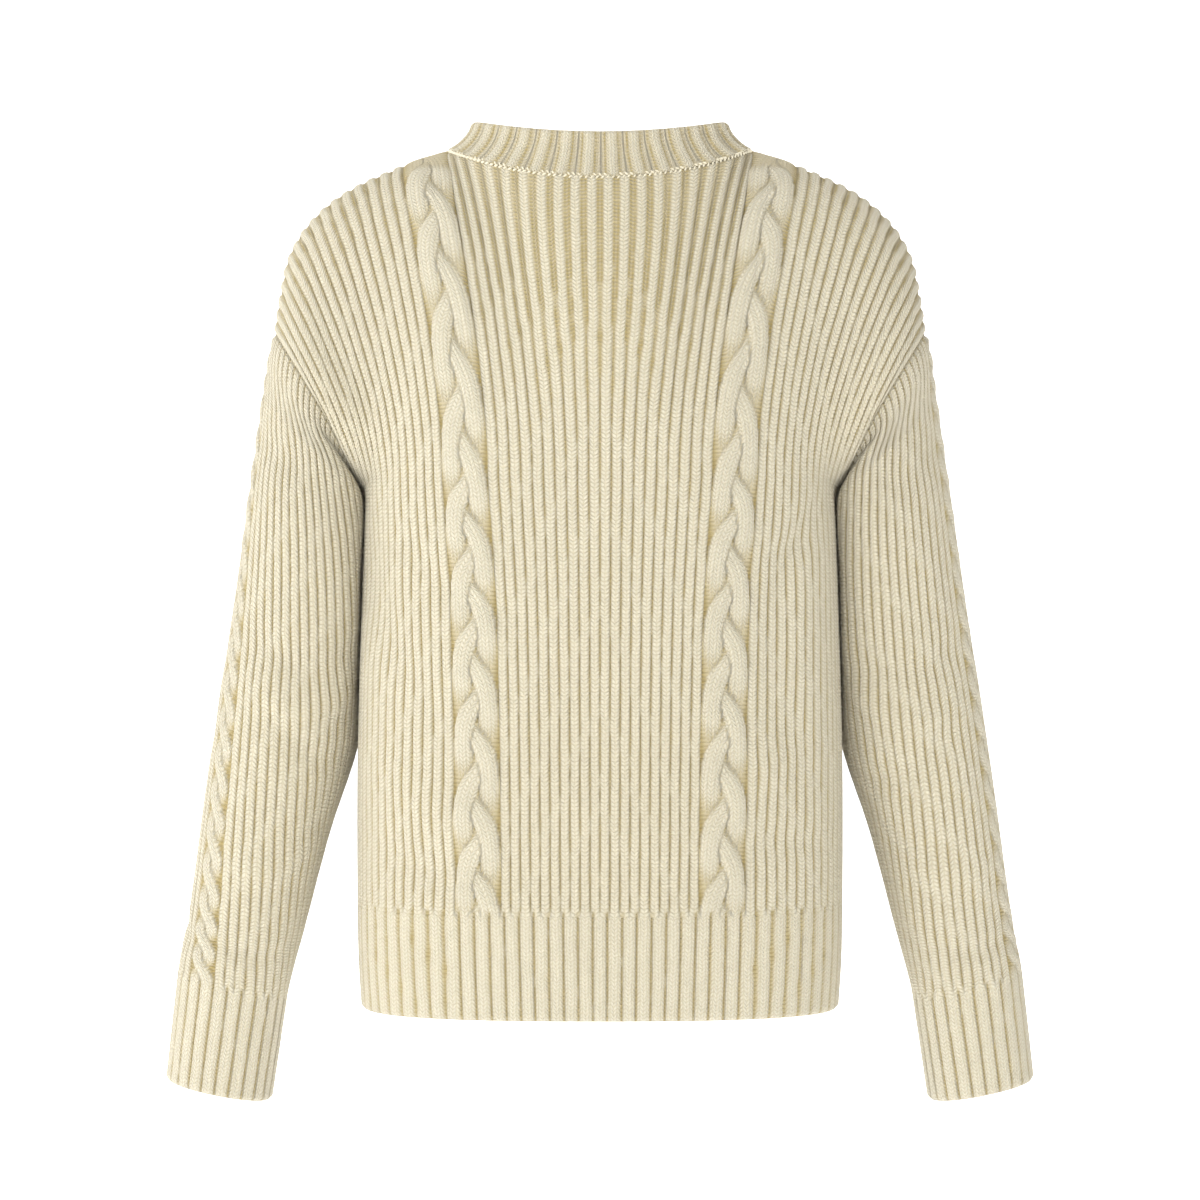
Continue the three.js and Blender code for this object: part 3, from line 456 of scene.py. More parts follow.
class Piece:
    """Closed cloth wall gathered as points, faces, knit coordinates and painted light."""

    def __init__(self, name, material, slot):
        self.name = name
        self.slot = slot
        self.material = material
        self.points = []
        self.faces = []
        self.knit = []
        self.painted_light = []
        self.count = 0

    def add_grid(self, grid, knit, painted_light, closed, flip):
        rows, columns = grid.shape[:2]
        ids = self.count + np.arange(rows * columns).reshape(rows, columns)
        self.count += rows * columns
        self.points.append(grid.reshape(-1, 3))
        self.knit.append(knit.reshape(-1, 2))
        self.painted_light.append(painted_light.ravel())
        right = np.roll(ids, -1, axis=1) if closed else ids[:, 1:]
        left = ids if closed else ids[:, :-1]
        quads = np.stack((left[:-1], right[:-1], right[1:], left[1:]), axis=-1).reshape(-1, 4)
        self.faces.extend(map(tuple, quads[:, ::-1] if flip else quads))
        return ids

    def zip_lines(self, first, second, first_at, second_at, flip):
        a = b = 0
        while a < len(first) - 1 or b < len(second) - 1:
            next_a = first_at[a + 1] if a < len(first) - 1 else math.inf
            next_b = second_at[b + 1] if b < len(second) - 1 else math.inf
            if next_a <= next_b:
                face = (first[a], first[a + 1], second[b])
                a += 1
            else:
                face = (first[a], second[b + 1], second[b])
                b += 1
            self.faces.append(face[::-1] if flip else face)

    def build(self):
        mesh = bpy.data.meshes.new(self.name)
        points = np.concatenate(self.points) * MM
        faces = [tuple(int(i) for i in face) for face in self.faces]
        mesh.from_pydata(points.tolist(), [], faces)
        mesh.validate()
        mesh.update()
        knit = np.concatenate(self.knit)
        painted_light = np.concatenate(self.painted_light)
        loops = np.empty(len(mesh.loops), dtype=np.int32)
        mesh.loops.foreach_get("vertex_index", loops)
        layer = mesh.uv_layers.new(name="knit")
        layer.data.foreach_set("uv", knit[loops].astype(np.float32).ravel())
        # Painted light per point: where it is low the colour is painted towards groove shade
        attribute = mesh.attributes.new("painted_light", "FLOAT", "POINT")
        attribute.data.foreach_set("value", painted_light.astype(np.float32))
        clean_mesh(mesh)
        shade_smooth(mesh)
        mesh.set_sharp_from_angle(angle=SHARP_ANGLE)
        return garment_piece(mesh, self.material)


def cloth_wall(node_name, material, base, out, rise, knit, painted_light, closed, inner_rows,
               inner_columns, seamed=False):
    """Wall with a raised outer side and a plain inner side on a coarser grid."""
    slot = "wool_knit" if material is wool_knit else "wool_ribbing"
    piece = Piece(node_name + "_cloth", material, slot)
    outer = base + out * (WALL + rise)[..., None]
    probe = np.cross(outer[0, 1] - outer[0, 0], outer[1, 0] - outer[0, 0])
    flip = float(np.dot(probe, out[0, 0])) < 0
    ids = piece.add_grid(outer, knit, painted_light, closed, flip)
    row_count, column_count = base.shape[:2]
    rows = sorted({*range(0, row_count, inner_rows), row_count - 1})
    columns = list(range(0, column_count, inner_columns))
    if not closed and columns[-1] != column_count - 1:
        columns.append(column_count - 1)
    inner = base[rows][:, columns]
    # The plain inside gets painted shade
    inner_ids = piece.add_grid(inner, knit[rows][:, columns],
                               np.full(inner.shape[:2], INSIDE_BRIGHTNESS), closed, not flip)
    for last in (0, -1):
        lines = ids[last], inner_ids[last]
        places = np.arange(column_count), columns
        if closed:
            lines = [np.append(line, line[0]) for line in lines]
            places = [np.append(place, column_count) for place in places]
        piece.zip_lines(*lines, *places, flip == bool(last))
    if not closed and not seamed:
        for last in (0, -1):
            piece.zip_lines(ids[:, last], inner_ids[:, last], np.arange(row_count), rows,
                            flip != bool(last))
    cloth = piece.build()
    flat, share, rests_on, fibre_count = PIECES[node_name]
    nap = fibres(node_name + "_nap", outer, out, fibre_count)
    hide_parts(node_name)


# Surfaces of cloth, loose yarn and backdrop, and colours in linear light
CLOTH_SURFACE = {
    "Roughness": 0.95,
    "Sheen Weight": 0.3,
    "Sheen Roughness": 0.6,
    "Specular IOR Level": 0.1,
}
YARN_SURFACE = {
    "Roughness": 0.9,
    "Sheen Weight": 0.4,
    "Specular IOR Level": 0.1,
}
BACKDROP_SURFACE = {
    "Base Color": (0.97, 0.97, 0.97, 1),
    "Roughness": 1,
    "Emission Color": (1, 1, 1, 1),
    "Emission Strength": 0.7,
}
WOOL_LIGHT = (0.765, 0.71, 0.56, 1)
WOOL_MID = (0.655, 0.595, 0.44, 1)
# Painted shade: colour that grooves, gaps between stitches, the inside and lapped strands are
# darkened towards
WOOL_PAINTED_SHADE = (0.44, 0.335, 0.12, 1)
FIBRE = (0.84, 0.78, 0.62, 1)


def node(tree, kind, **inputs):
    made = tree.nodes.new(kind)
    for key, value in inputs.items():
        made.inputs[key].default_value = value
    return made


def new_material(name, surface):
    material = bpy.data.materials.new(name)
    material.use_nodes = True
    shader = material.node_tree.nodes["Principled BSDF"]
    for key, value in surface.items():
        shader.inputs[key].default_value = value
    return material, material.node_tree, shader


def connect(socket, value):
    """Links a socket to another one, or gives it a plain value."""
    if isinstance(value, bpy.types.NodeSocket):
        socket.id_data.links.new(value, socket)
    else:
        socket.default_value = value


def calc(operation, *values, clamp=False):
    made = values[0].id_data.nodes.new("ShaderNodeMath")
    made.operation = operation
    made.use_clamp = clamp
    for socket, value in zip(made.inputs, values):
        connect(socket, value)
    return made.outputs[0]


def blend_colour(share, first, second):
    made = share.id_data.nodes.new("ShaderNodeMix")
    made.data_type = "RGBA"
    for socket, value in zip((made.inputs["Factor"], *made.inputs[6:8]), (share, first, second)):
        connect(socket, value)
    return made.outputs[2]


# Pattern of the wool. Noise is given as scale, detail and roughness; the other numbers are
# shares of a course, of a wale or of the tone
STITCH_SHAKE = (380.0, 2.0, 0.5)
FUZZ = (1100.0, 4.0, 0.7)
PATCHES = (60.0, 5.0, 0.65)
CLOUDS = (6.0, 2.0, 0.5)
SHAKE_SHARE = 0.55
STITCH_SLANT = 0.8
YARN_ROUNDING = 0.8
LEG_SHARE = 0.8
RIDGE_RANGE = (4.0, -1.4)
SPECKLE_RANGE = (2.4, -0.8)
SPECKLE_SHARE = 0.4
PATCH_SHARE = 0.6
CLOUD_SHARE = 0.35
# Painted shade between stitch legs: share of the brightness that the stitch pattern sets
STITCH_LIGHT = 0.6
STITCH_HEIGHT = 0.65
FUZZ_HEIGHT = 0.75


def wool_material(name, stitch_depth):
    """Napped wool: V stitches on the ribs, ladders in the grooves, mottled yarn and fuzz, and
    painted shade in the grooves and between stitches.
    """
    material, tree, shader = new_material(name, CLOTH_SURFACE)
    link = tree.links.new
    knit = tree.nodes.new("ShaderNodeUVMap")
    knit.uv_map = "knit"
    parts = tree.nodes.new("ShaderNodeSeparateXYZ")
    link(knit.outputs["UV"], parts.inputs[0])
    across, along = parts.outputs[0], parts.outputs[1]
    # Painted light share of each point: it sets the painted shade below and stands for the rib's
    # height when stitches or ladders are picked
    painted_light = tree.nodes.new("ShaderNodeAttribute")
    painted_light.attribute_name = "painted_light"
    height = painted_light.outputs["Fac"]
    place = tree.nodes.new("ShaderNodeTexCoord").outputs["Object"]

    def noise(scale, detail, roughness):
        made = node(tree, "ShaderNodeTexNoise", Scale=scale, Detail=detail, Roughness=roughness)
        link(place, made.inputs["Vector"])
        return made.outputs[0]

    shake = calc("MULTIPLY", calc("SUBTRACT", noise(*STITCH_SHAKE), 0.5), SHAKE_SHARE)
    from_middle = calc("ABSOLUTE", calc("SUBTRACT", calc("FRACT", across), 0.5))
    from_middle = calc("MULTIPLY", from_middle, 2.0)
    slanted = calc("SUBTRACT", along, calc("MULTIPLY", from_middle, STITCH_SLANT))
    course = calc("FRACT", calc("ADD", slanted, shake))
    yarn = calc("SINE", calc("MULTIPLY", course, math.pi))
    yarn = calc("POWER", yarn, YARN_ROUNDING)
    leg = calc("SINE", calc("MULTIPLY", from_middle, math.pi), clamp=True)
    stitch = calc("MULTIPLY_ADD", leg, LEG_SHARE, 1 - LEG_SHARE)
    stitch = calc("MULTIPLY", yarn, stitch)
    ladder = calc("ABSOLUTE", calc("SINE", calc("MULTIPLY", along, math.pi)))
    on_ridge = calc("MULTIPLY_ADD", height, *RIDGE_RANGE, clamp=True)
    pattern = tree.nodes.new("ShaderNodeMix")
    link(on_ridge, pattern.inputs[0])
    link(ladder, pattern.inputs[2])
    link(stitch, pattern.inputs[3])
    knitted = pattern.outputs[0]

    fuzz = noise(*FUZZ)
    speckle = calc("MULTIPLY_ADD", fuzz, *SPECKLE_RANGE, clamp=True)
    patches = calc("MULTIPLY", noise(*PATCHES), PATCH_SHARE)
    tone = calc("MULTIPLY_ADD", speckle, SPECKLE_SHARE, patches)
    tone = calc("MULTIPLY_ADD", noise(*CLOUDS), CLOUD_SHARE, tone, clamp=True)
    surface = blend_colour(tone, WOOL_MID, WOOL_LIGHT)
    # Painted shade: the colour goes towards the painted shade colour down in the grooves and
    # between stitch legs and ladder rungs
    lit = calc("MULTIPLY_ADD", knitted, STITCH_LIGHT, STITCH_LIGHT)
    lit = calc("MULTIPLY", height, lit, clamp=True)
    colour = blend_colour(lit, WOOL_PAINTED_SHADE, surface)
    link(colour, shader.inputs["Base Color"])

    rough = calc("MULTIPLY", fuzz, FUZZ_HEIGHT)
    rough = calc("MULTIPLY_ADD", knitted, STITCH_HEIGHT, rough)
    bump = node(tree, "ShaderNodeBump", Strength=1.0, Distance=stitch_depth)
    link(rough, bump.inputs["Height"])
    link(bump.outputs[0], shader.inputs["Normal"])
    return material


YARN_NOISE = {"Scale": 90.0, "Detail": 2.0}


def yarn_material(name, dark, light):
    """Loose yarn and fibres, without stitches of their own."""
    material, tree, shader = new_material(name, YARN_SURFACE)
    tone = node(tree, "ShaderNodeTexNoise", **YARN_NOISE)
    place = tree.nodes.new("ShaderNodeTexCoord")
    tree.links.new(place.outputs["Object"], tone.inputs["Vector"])
    colour = blend_colour(tone.outputs[0], dark, light)
    tree.links.new(colour, shader.inputs["Base Color"])
    return material


wool_knit = wool_material("wool_knit", 0.0022)
wool_ribbing = wool_material("wool_ribbing", 0.002)
wool_nap = yarn_material("wool_nap", WOOL_LIGHT, FIBRE)
wool_link = yarn_material("wool_link", WOOL_MID, WOOL_LIGHT)

# Creases seen from behind: start and end (x, z), width, depth below zero for a
# trough. They lie where the cloth is pulled at the arms and where its weight gathers it
BACK_CREASES = (
    (156, -262, 122, -430, 13, -3.6),
    (-157, -262, -126, -440, 13, -3.6),
    (140, -286, 64, -352, 11, -2.2),
    (-142, -292, -70, -366, 11, -2.2),
    (205, -104, 158, -205, 13, -2.4),
    (-202, -110, -150, -212, 13, -2.4),
    (148, -455, 76, -500, 17, 2.8),
    (-146, -440, -84, -492, 16, 2.6),
    (150, -512, 60, -530, 14, -2.2),
    (-150, -505, -52, -536, 14, -2.0),
    (-34, -396, 44, -420, 24, -1.6),
    (30, -470, -48, -500, 22, 1.6),
)
FRONT_CREASES = (
    (155, -264, 118, -420, 13, -3.4),
    (-158, -266, -121, -424, 13, -3.5),
    (144, -290, 58, -338, 12, -2.4),
    (-138, -284, -66, -346, 11, -2.0),
    (203, -108, 154, -208, 12, -2.2),
    (-204, -104, -152, -202, 13, -2.3),
    (150, -448, 80, -486, 16, 2.5),
    (-150, -460, -78, -508, 18, 2.7),
    (144, -520, 48, -540, 15, -2.0),
    (-40, -380, 38, -408, 25, -1.8),
    (20, -455, -56, -484, 20, 1.7),
)

# Creases of a sleeve: start and end as (way round from the cable, way down from the armhole)
LEFT_SLEEVE_CREASES = (
    (-104, 196, -26, 232, 11, -3.2),
    (-100, 228, -34, 262, 10, 2.6),
    (-96, 282, -30, 268, 11, -2.6),
    (-84, 66, -18, 104, 13, -2.2),
    (-80, 344, -22, 372, 10, 2.0),
    (-66, 420, -12, 438, 8, -2.2),
    (96, 204, 30, 236, 11, -3.0),
    (98, 262, 28, 284, 11, -2.4),
    (80, 80, 22, 116, 13, -2.0),
    (64, 414, 14, 436, 8, -2.0),
)
RIGHT_SLEEVE_CREASES = (
    (-100, 208, -24, 236, 11, -3.0),
    (-98, 240, -32, 276, 10, 2.4),
    (-92, 300, -28, 280, 11, -2.6),
    (-82, 74, -20, 108, 13, -2.3),
    (-76, 356, -18, 378, 10, 2.0),
    (-64, 424, -10, 436, 8, -2.3),
    (98, 198, 28, 228, 11, -3.1),
    (96, 256, 30, 290, 11, -2.5),
    (78, 76, 24, 110, 13, -2.0),
    (60, 418, 12, 438, 8, -1.9),
)


# Bend of a crease as a share of its length, fade at its ends, unevenness and growth in width
CREASE_BEND = 0.1
CREASE_BEND_TURN = 1.2
CREASE_FADE = 0.3
CREASE_UNEVENNESS = 0.3
CREASE_RIPPLE = 7
CREASE_START_WIDTH = 0.8
CREASE_GROWTH = 0.4


def crease_relief(across, along, creases):
    """Soft uneven troughs and ridges over a grid of places."""
    total = np.zeros(np.broadcast(across, along).shape)
    for start_x, start_z, end_x, end_z, width, depth in creases:
        x, z = across - start_x, along - start_z
        run_x, run_z = end_x - start_x, end_z - start_z
        length = math.hypot(run_x, run_z)
        share = (x * run_x + z * run_z) / length ** 2
        off = (x * run_z - z * run_x) / length
        off = off + CREASE_BEND * length * np.sin(math.pi * share * CREASE_BEND_TURN)
        fade = smooth(share, -CREASE_FADE, CREASE_FADE)
        fade = fade * (1 - smooth(share, 1 - CREASE_FADE, 1 + CREASE_FADE))
        uneven = 1 + CREASE_UNEVENNESS * np.sin(CREASE_RIPPLE * share + start_x)
        spread = width * (CREASE_START_WIDTH + CREASE_GROWTH * share)
        total += depth * fade * uneven * np.exp(-(off / spread) ** 2)
    return total


def fibres(name, outer, out, count):
    """Short bent wool fibres that stand off the outer side of a piece."""
    rows, columns = outer.shape[:2]
    row = rng.integers(0, rows, count)
    column = rng.integers(0, columns, count)
    foot = outer[row, column] + rng.normal(0, FIBRE_SCATTER, (count, 3))
    away = out[row, column]
    lean = unit(away * rng.uniform(0.35, 1.1, (count, 1)) + rng.normal(0, 0.55, (count, 3)))
    bent = unit(lean + rng.normal(0, 0.6, (count, 3)))
    length = rng.uniform(*FIBRE_LENGTHS, (count, 1))
    foot = foot - away * FIBRE_ROOT
    middle = foot + lean * length * FIBRE_BEND_AT
    tip = middle + bent * length * (1 - FIBRE_BEND_AT)
    side = unit(np.cross(lean, rng.normal(0, 1, (count, 3)))) * FIBRE_HALF_WIDTH
    thinner = side * 0.8
    points = np.stack((foot - side, foot + side, middle + thinner, middle - thinner, tip), axis=1)
    mesh = bpy.data.meshes.new(name)
    first = np.arange(count)[:, None] * 5
    faces = (first + (0, 1, 2, 3)).tolist() + (first + (3, 2, 4)).tolist()
    mesh.from_pydata((points.reshape(-1, 3) * MM).tolist(), [], faces)
    return garment_piece(mesh, wool_nap)


# Each piece: width and length of its flat cut in metres, share of that rectangle that is cloth,
# what the piece hangs from, and number of fibres that stand off it
PIECES = {
    "back": ((0.450, 0.560), 0.88, (), 14000),
    "front": ((0.450, 0.560), 0.84, ("back",), 14000),
    "hem_rib_back": ((0.450, 0.074), 1.0, ("back",), 2200),
    "hem_rib_front": ((0.450, 0.074), 1.0, ("front",), 2200),
    "sleeve_left": ((0.400, 0.480), 0.78, ("back", "front"), 9000),
    "sleeve_right": ((0.400, 0.480), 0.78, ("back", "front"), 9000),
    "cuff_left": ((0.240, 0.078), 1.0, ("sleeve_left",), 1500),
    "cuff_right": ((0.240, 0.078), 1.0, ("sleeve_right",), 1500),
    "collar": ((0.600, 0.048), 0.9, ("back", "front"), 2200),
}

# Loops that link the collar on
LOOP_PITCH = 3.8
LOOP_LIFT = 1.1
LOOP_SLANT = 1.0
LOOP_HEIGHT = 2.4
LOOP_SIZE = (1.75, 0.7, 1.1)
LOOP_SHAKE = 0.08
LOOP_SIZES = (0.92, 1.08)


def panel_ribs():
    middle = (np.arange(MIDDLE_RIBS)[:, None] + RIB_STEPS).ravel()
    cable = np.linspace(CABLE_START, CABLE_END, CABLE_STEPS, endpoint=False)
    side = (CABLE_END + np.arange(SIDE_RIBS)[:, None] + RIB_STEPS).ravel()
    half = np.concatenate((middle, cable, side, [PANEL_EDGE]))
    return np.concatenate((-half[:0:-1], half))


def panel_ups():
    low = np.linspace(0, 1, int((UNDERARM - HEM_TOP) / ROW_STEP), endpoint=False)
    high = np.linspace(1, 2, int(YOKE_LENGTH / ROW_STEP) + 1)
    return np.concatenate((low, high))


def rib_wobble(count, length):
    """Small sideways wander of each rib along its length, in mm."""
    rib = np.floor(count)
    slow = np.sin(SLOW_WAVE * length + 1.7 * rib)
    quick = np.sin(QUICK_WAVE * length + 2.9 * rib)
    return smooth(length, 0, WOBBLE_GROWTH) * WOBBLE * (slow + QUICK_SHARE * quick)


def rib_relief_and_shade(count, pitch, length):
    """Height, painted brightness and knit coordinate of round ribs, with middles between whole
    numbers.

    Wide grooves between them hold purl stitches; the brightness paints shade into the grooves.
    """
    offset = (count - np.floor(count) - 0.5) * pitch + rib_wobble(count, length)
    half = np.minimum(RIB_SHARE * pitch, RIB_HALF_WIDTH)
    height = np.maximum(0, 1 - (np.abs(offset) / half) ** RIB_FLATNESS) ** RIB_ROUNDING
    groove = np.maximum(pitch / 2 - half, LEAST_GROOVE)
    in_groove = np.clip((np.abs(offset) - half) / groove, 0, 1)
    purl = smooth(groove, *PURL_GROOVE) * smooth(in_groove, *PURL_EDGE)
    # Painted light: full on the rib tops, painted shade in the grooves, a little lifted where purl
    # stitches lie
    bright = np.maximum(height, PURL_BRIGHTNESS * purl)
    return np.maximum(height, PURL_HEIGHT * purl), bright, 0.5 + offset / WALE_WIDTH


def body_panel(side_name, front):
    ribs = panel_ribs()
    ups = panel_ups()
    base = panel_base(ribs, ups, front)
    middle = np.zeros_like(base)
    middle[..., 2] = np.where(ups > 1, YOKE_MIDDLE, base[:, :, 2].mean(axis=1))[:, None]
    out = grid_normals(base, False, middle)
    count = np.abs(ribs)
    share = np.maximum(0, ups - 1)
    near = smooth(count, PANEL_EDGE - 2.2, PANEL_EDGE)[None, :] * smooth(ups, 0.85, 1)[:, None]
    for sign in (-1, 1):
        seam = armhole_out(share, sign, front)[:, None, :]
        on_side = (np.sign(ribs) == sign)[None, :, None]
        out = np.where(on_side, mix(out, seam, near[..., None]), out)
    out = unit(out)

    marks = FRONT_CREASES if front else BACK_CREASES
    creases = crease_relief(base[..., 0], base[..., 2], marks)
    creases *= 1 - smooth(count, PANEL_EDGE - CREASE_MARGIN_RIBS, PANEL_EDGE - 1)[None, :]
    creases *= (smooth(ups, 0, 0.07) * (1 - smooth(ups, 1.8, 1.95)))[:, None]
    base = base + out * creases[..., None]

    pitch = norm(np.gradient(base, axis=1), axis=-1) / np.gradient(count * np.sign(ribs))
    pitch = np.maximum(pitch, LEAST_PITCH)
    from_cable = np.where(count < CABLE_START, count, count - CABLE_END)[None, :]
    length = column_lengths(base)
    height, painted_light, wale = rib_relief_and_shade(from_cable, pitch, length)

    in_cable = (count >= CABLE_START) & (count <= CABLE_END)
    low_repeats = (UNDERARM - HEM_TOP) / CABLE_REPEAT
    high_repeats = low_repeats + YOKE_LENGTH / CABLE_REPEAT * (ups - 1)
    repeats = np.where(ups < 1, low_repeats * ups, high_repeats)
    across = (count - (CABLE_START + CABLE_END) / 2) / (CABLE_RIBS / 2)
    strands, strand_bright, strand_wale = strand_field(across[None, in_cable], repeats[:, None], 3)
    plain = CABLE_END_RISE * np.maximum(0, 1 - np.abs(across[None, in_cable]) ** 6)
    open_end = smooth(ups, *CABLE_ENDS)[:, None]
    strands = mix(strands, plain, open_end)
    rise = height * RIB_RISE
    rise[:, in_cable] = strands * CABLE_RISE
    # Painted light of the cable: painted shadow under lapped strands, and painted shade beside the
    # plain ends
    painted_light[:, in_cable] = mix(strand_bright, smooth(plain, 0.05, 0.75), open_end)
    wale[:, in_cable] = strand_wale + 0.5

    hem_count = (count / PANEL_EDGE * HEM_RIBS / 2)[None, :] + 0.5
    hem_pitch = pitch * 2 * PANEL_EDGE / HEM_RIBS
    hem_offset = (hem_count - np.floor(hem_count) - 0.5) * hem_pitch
    hem_height, hem_bright, _ = wide_relief_and_shade(hem_offset, hem_pitch, HEM_RIB_HALF, RIBBING_WALES)
    joint = smooth(length, *JOINT)
    rise = mix(hem_height * HEM_RISE, rise, joint)
    painted_light = mix(hem_bright, painted_light, joint)

    edge = (PANEL_EDGE - count)[None, :] * pitch
    top_edge = length[-1:] - length
    side_taper = mix(1, smooth(edge, 0, SEAM_TAPER), smooth(ups, 0.9, 1)[:, None])
    rise = rise * side_taper * mix(NECK_RISE_SHARE, 1, smooth(top_edge, 0, NECK_TAPER))

    # All points of one rib or of one cable share their courses
    beyond = np.where(in_cable, CABLE_GROUP, count + CABLE_GROUP + 1 - CABLE_END)
    group = 1 + np.floor(np.where(count < CABLE_START, count, beyond))
    group *= np.where(ribs < 0, -1, 1)
    courses = length.copy()
    for number in np.unique(group):
        same = group == number
        courses[:, same] = length[:, same].mean(axis=1, keepdims=True)
    knit = np.stack((wale, courses / COURSE), axis=-1)
    cloth_wall(side_name, wool_knit, base, out, rise, knit, painted_light, False, INNER_STEP,
               FINE_INNER_STEP)


def wide_relief_and_shade(offset, pitch, half_width, wales, flatness=WIDE_RIB_FLATNESS):
    """Height, painted brightness and knit coordinate of a flat-topped rib of one or more wales."""
    half = np.minimum(WIDE_RIB_SHARE * pitch, half_width)
    height = np.maximum(0, 1 - (np.abs(offset) / half) ** flatness) ** RIB_ROUNDING
    groove = np.maximum(pitch / 2 - half, LEAST_GROOVE)
    in_groove = np.clip((np.abs(offset) - half) / groove, 0, 1)
    purl = smooth(pitch / 2 - half, *WIDE_PURL_GROOVE) * smooth(in_groove, *WIDE_PURL_EDGE)
    wale = (0.5 + offset / (2 * half)) * wales
    # Painted light: full on the rib top, painted shade in the groove, lifted where purl stitches
    # show
    return height, np.maximum(height, WIDE_PURL_BRIGHTNESS * purl), wale


def ribbing(node_name, base, out, count, pitch, half_width, rib_rise, closed,
            inner_rows=INNER_STEP, flatness=WIDE_RIB_FLATNESS):
    """Ribbed end of the knit, with its ribs counted along the rows and a lip at the free edge."""
    length = column_lengths(base)
    offset = (count - np.floor(count) - 0.5)[None, :] * pitch
    offset = offset + rib_wobble(count[None, :], length)
    height, painted_light, wale = wide_relief_and_shade(offset, pitch, half_width, RIBBING_WALES, flatness)
    end = smooth(length[-1:] - length, 0, LIP_LENGTH)
    rise = height * rib_rise * mix(LIP_RISE_SHARE, 1, end) - LIP_DEPTH * (1 - end)
    knit = np.stack((wale, length / COURSE), axis=-1)
    cloth_wall(node_name, wool_ribbing, base, out, rise, knit, painted_light, closed, inner_rows,
               INNER_STEP)


def hem_rib(side_name, front):
    across = np.linspace(-1, 1, HEM_RIBS * RIBBING_STEPS + 1)
    heights = np.linspace(HEM_TOP, HEM_BOTTOM, HEM_ROWS)
    base = np.array([body_tube(np.abs(across) * PANEL_EDGE, z) for z in heights])
    base[..., 0] *= np.sign(across)
    if front:
        base[..., 1] *= -1
    middle = base * np.array((0, 0, 1))
    out = grid_normals(base, False, middle)
    pitch = norm(np.gradient(base, axis=1), axis=-1) * RIBBING_STEPS
    count = np.abs(across) * HEM_RIBS / 2 + 0.5
    ribbing(f"hem_rib_{side_name}", base, out, count, pitch, HEM_RIB_HALF, HEM_RISE, False)


def armhole_ring(turn):
    share = np.where(turn > 0.5, 2 - 2 * turn, 2 * turn)
    ribs = np.full_like(turn, PANEL_EDGE)
    back = body_yoke(ribs, share, False)
    front = body_yoke(ribs, share, True) * np.array((1, -1, 1))
    is_front = (turn > 0.5)[..., None]
    point = np.where(is_front, front, back)
    out = np.where(is_front, armhole_out(share, 1, True), armhole_out(share, 1, False))
    return point, out


def body_side(y, z):
    """Half width of the body tube at a height and a distance from its middle plane."""
    half_width = table_value(BODY_SECTIONS["z"], BODY_SECTIONS["half_width"], z)
    depth = table_value(BODY_SECTIONS["z"], BODY_SECTIONS["depth"], z)
    far = np.minimum(1, np.abs(y) / depth)
    return half_width * (1 - far ** BODY_SQUARENESS) ** (1 / BODY_SQUARENESS)


def sleeve_ring(row, turn, lean):
    """Rounded section of a sleeve on the left side, pressed flat where it meets the body."""
    angle = 2 * math.pi * turn
    power = 2 / SLEEVE_SQUARENESS
    outward = -np.sign(np.cos(angle)) * np.abs(np.cos(angle)) ** power
    back = np.sign(np.sin(angle)) * np.abs(np.sin(angle)) ** power
    out_x, out_z, in_x, in_z, depth, shift = row
    x = (out_x + in_x) / 2 + outward * (out_x - in_x) / 2
    z = (out_z + in_z) / 2 + outward * (out_z - in_z) / 2
    y = shift - lean * smooth(out_z, HEM_BOTTOM, UNDERARM) + back * depth
    nearest = body_side(y, np.minimum(UNDERARM, z)) + SLEEVE_CLEARANCE
    pressed = (x + nearest + np.hypot(x - nearest, SLEEVE_SOFTNESS)) / 2
    under = 1 - smooth(z, UNDERARM - SLEEVE_PRESS_RISE, UNDERARM)
    return np.stack((mix(x, pressed, under), y, z), axis=-1)


def sleeve_dense(turn, rows, lean):
    """Inside of the left sleeve on a regular grid, and its outward directions."""
    seam, seam_out = armhole_ring(turn)
    along = np.roll(seam, -1, axis=0) - np.roll(seam, 1, axis=0)
    away = unit(np.cross(along, seam_out))
    away *= np.sign(away @ np.array(SLEEVE_AWAY))[:, None]
    rings = [sleeve_ring(row, turn, lean) for row in (*SLEEVE_SECTIONS, CUFF_END)]
    last = len(SLEEVE_SECTIONS)
    grid = []
    for down in rows:
        low = min(last - 1, int(down))
        share = min(1, down - low)
        end, beyond = rings[low], rings[low + 1]
        if low == 0:
            reach = norm(end - seam, axis=-1, keepdims=True)
            arrive = (beyond - seam) * SLEEVE_FIRST_TENSION
            grid.append(hermite(seam, away * reach, end, arrive, share))
            continue
        start = rings[low - 1]
        if low > 1:
            leave = (end - rings[low - 2]) * SLEEVE_TENSION
        else:
            leave = (end - seam) * SLEEVE_START_TENSION
        grid.append(hermite(start, leave, end, (beyond - start) * SLEEVE_TENSION, share))
    grid = np.array(grid)
    middle = grid.mean(axis=1, keepdims=True)
    out = grid_normals(grid, True, middle)
    near = 1 - smooth(rows, 0, SEAM_BLEND)[:, None, None]
    return grid, unit(mix(out, seam_out[None], near))


def at_places(row, runs, places):
    return np.stack([np.interp(places, runs, row[:, axis]) for axis in range(3)], axis=-1)


def respaced(row, row_out, turn, turned, offsets, as_share):
    """Points and outward directions of a closed row at offsets from its cable, and its girth."""
    row = np.concatenate((row, row[:1]))
    row_out = np.concatenate((row_out, row_out[:1]))
    runs = running(norm(np.diff(row, axis=0), axis=-1))
    girth = runs[-1]
    centre = np.interp(0.5 - turned, np.append(turn, 1), runs)
    away = offsets * girth if as_share else np.clip(offsets, -girth / 2, girth / 2)
    places = np.mod(centre + away, girth)
    return at_places(row, runs, places), unit(at_places(row_out, runs, places)), girth


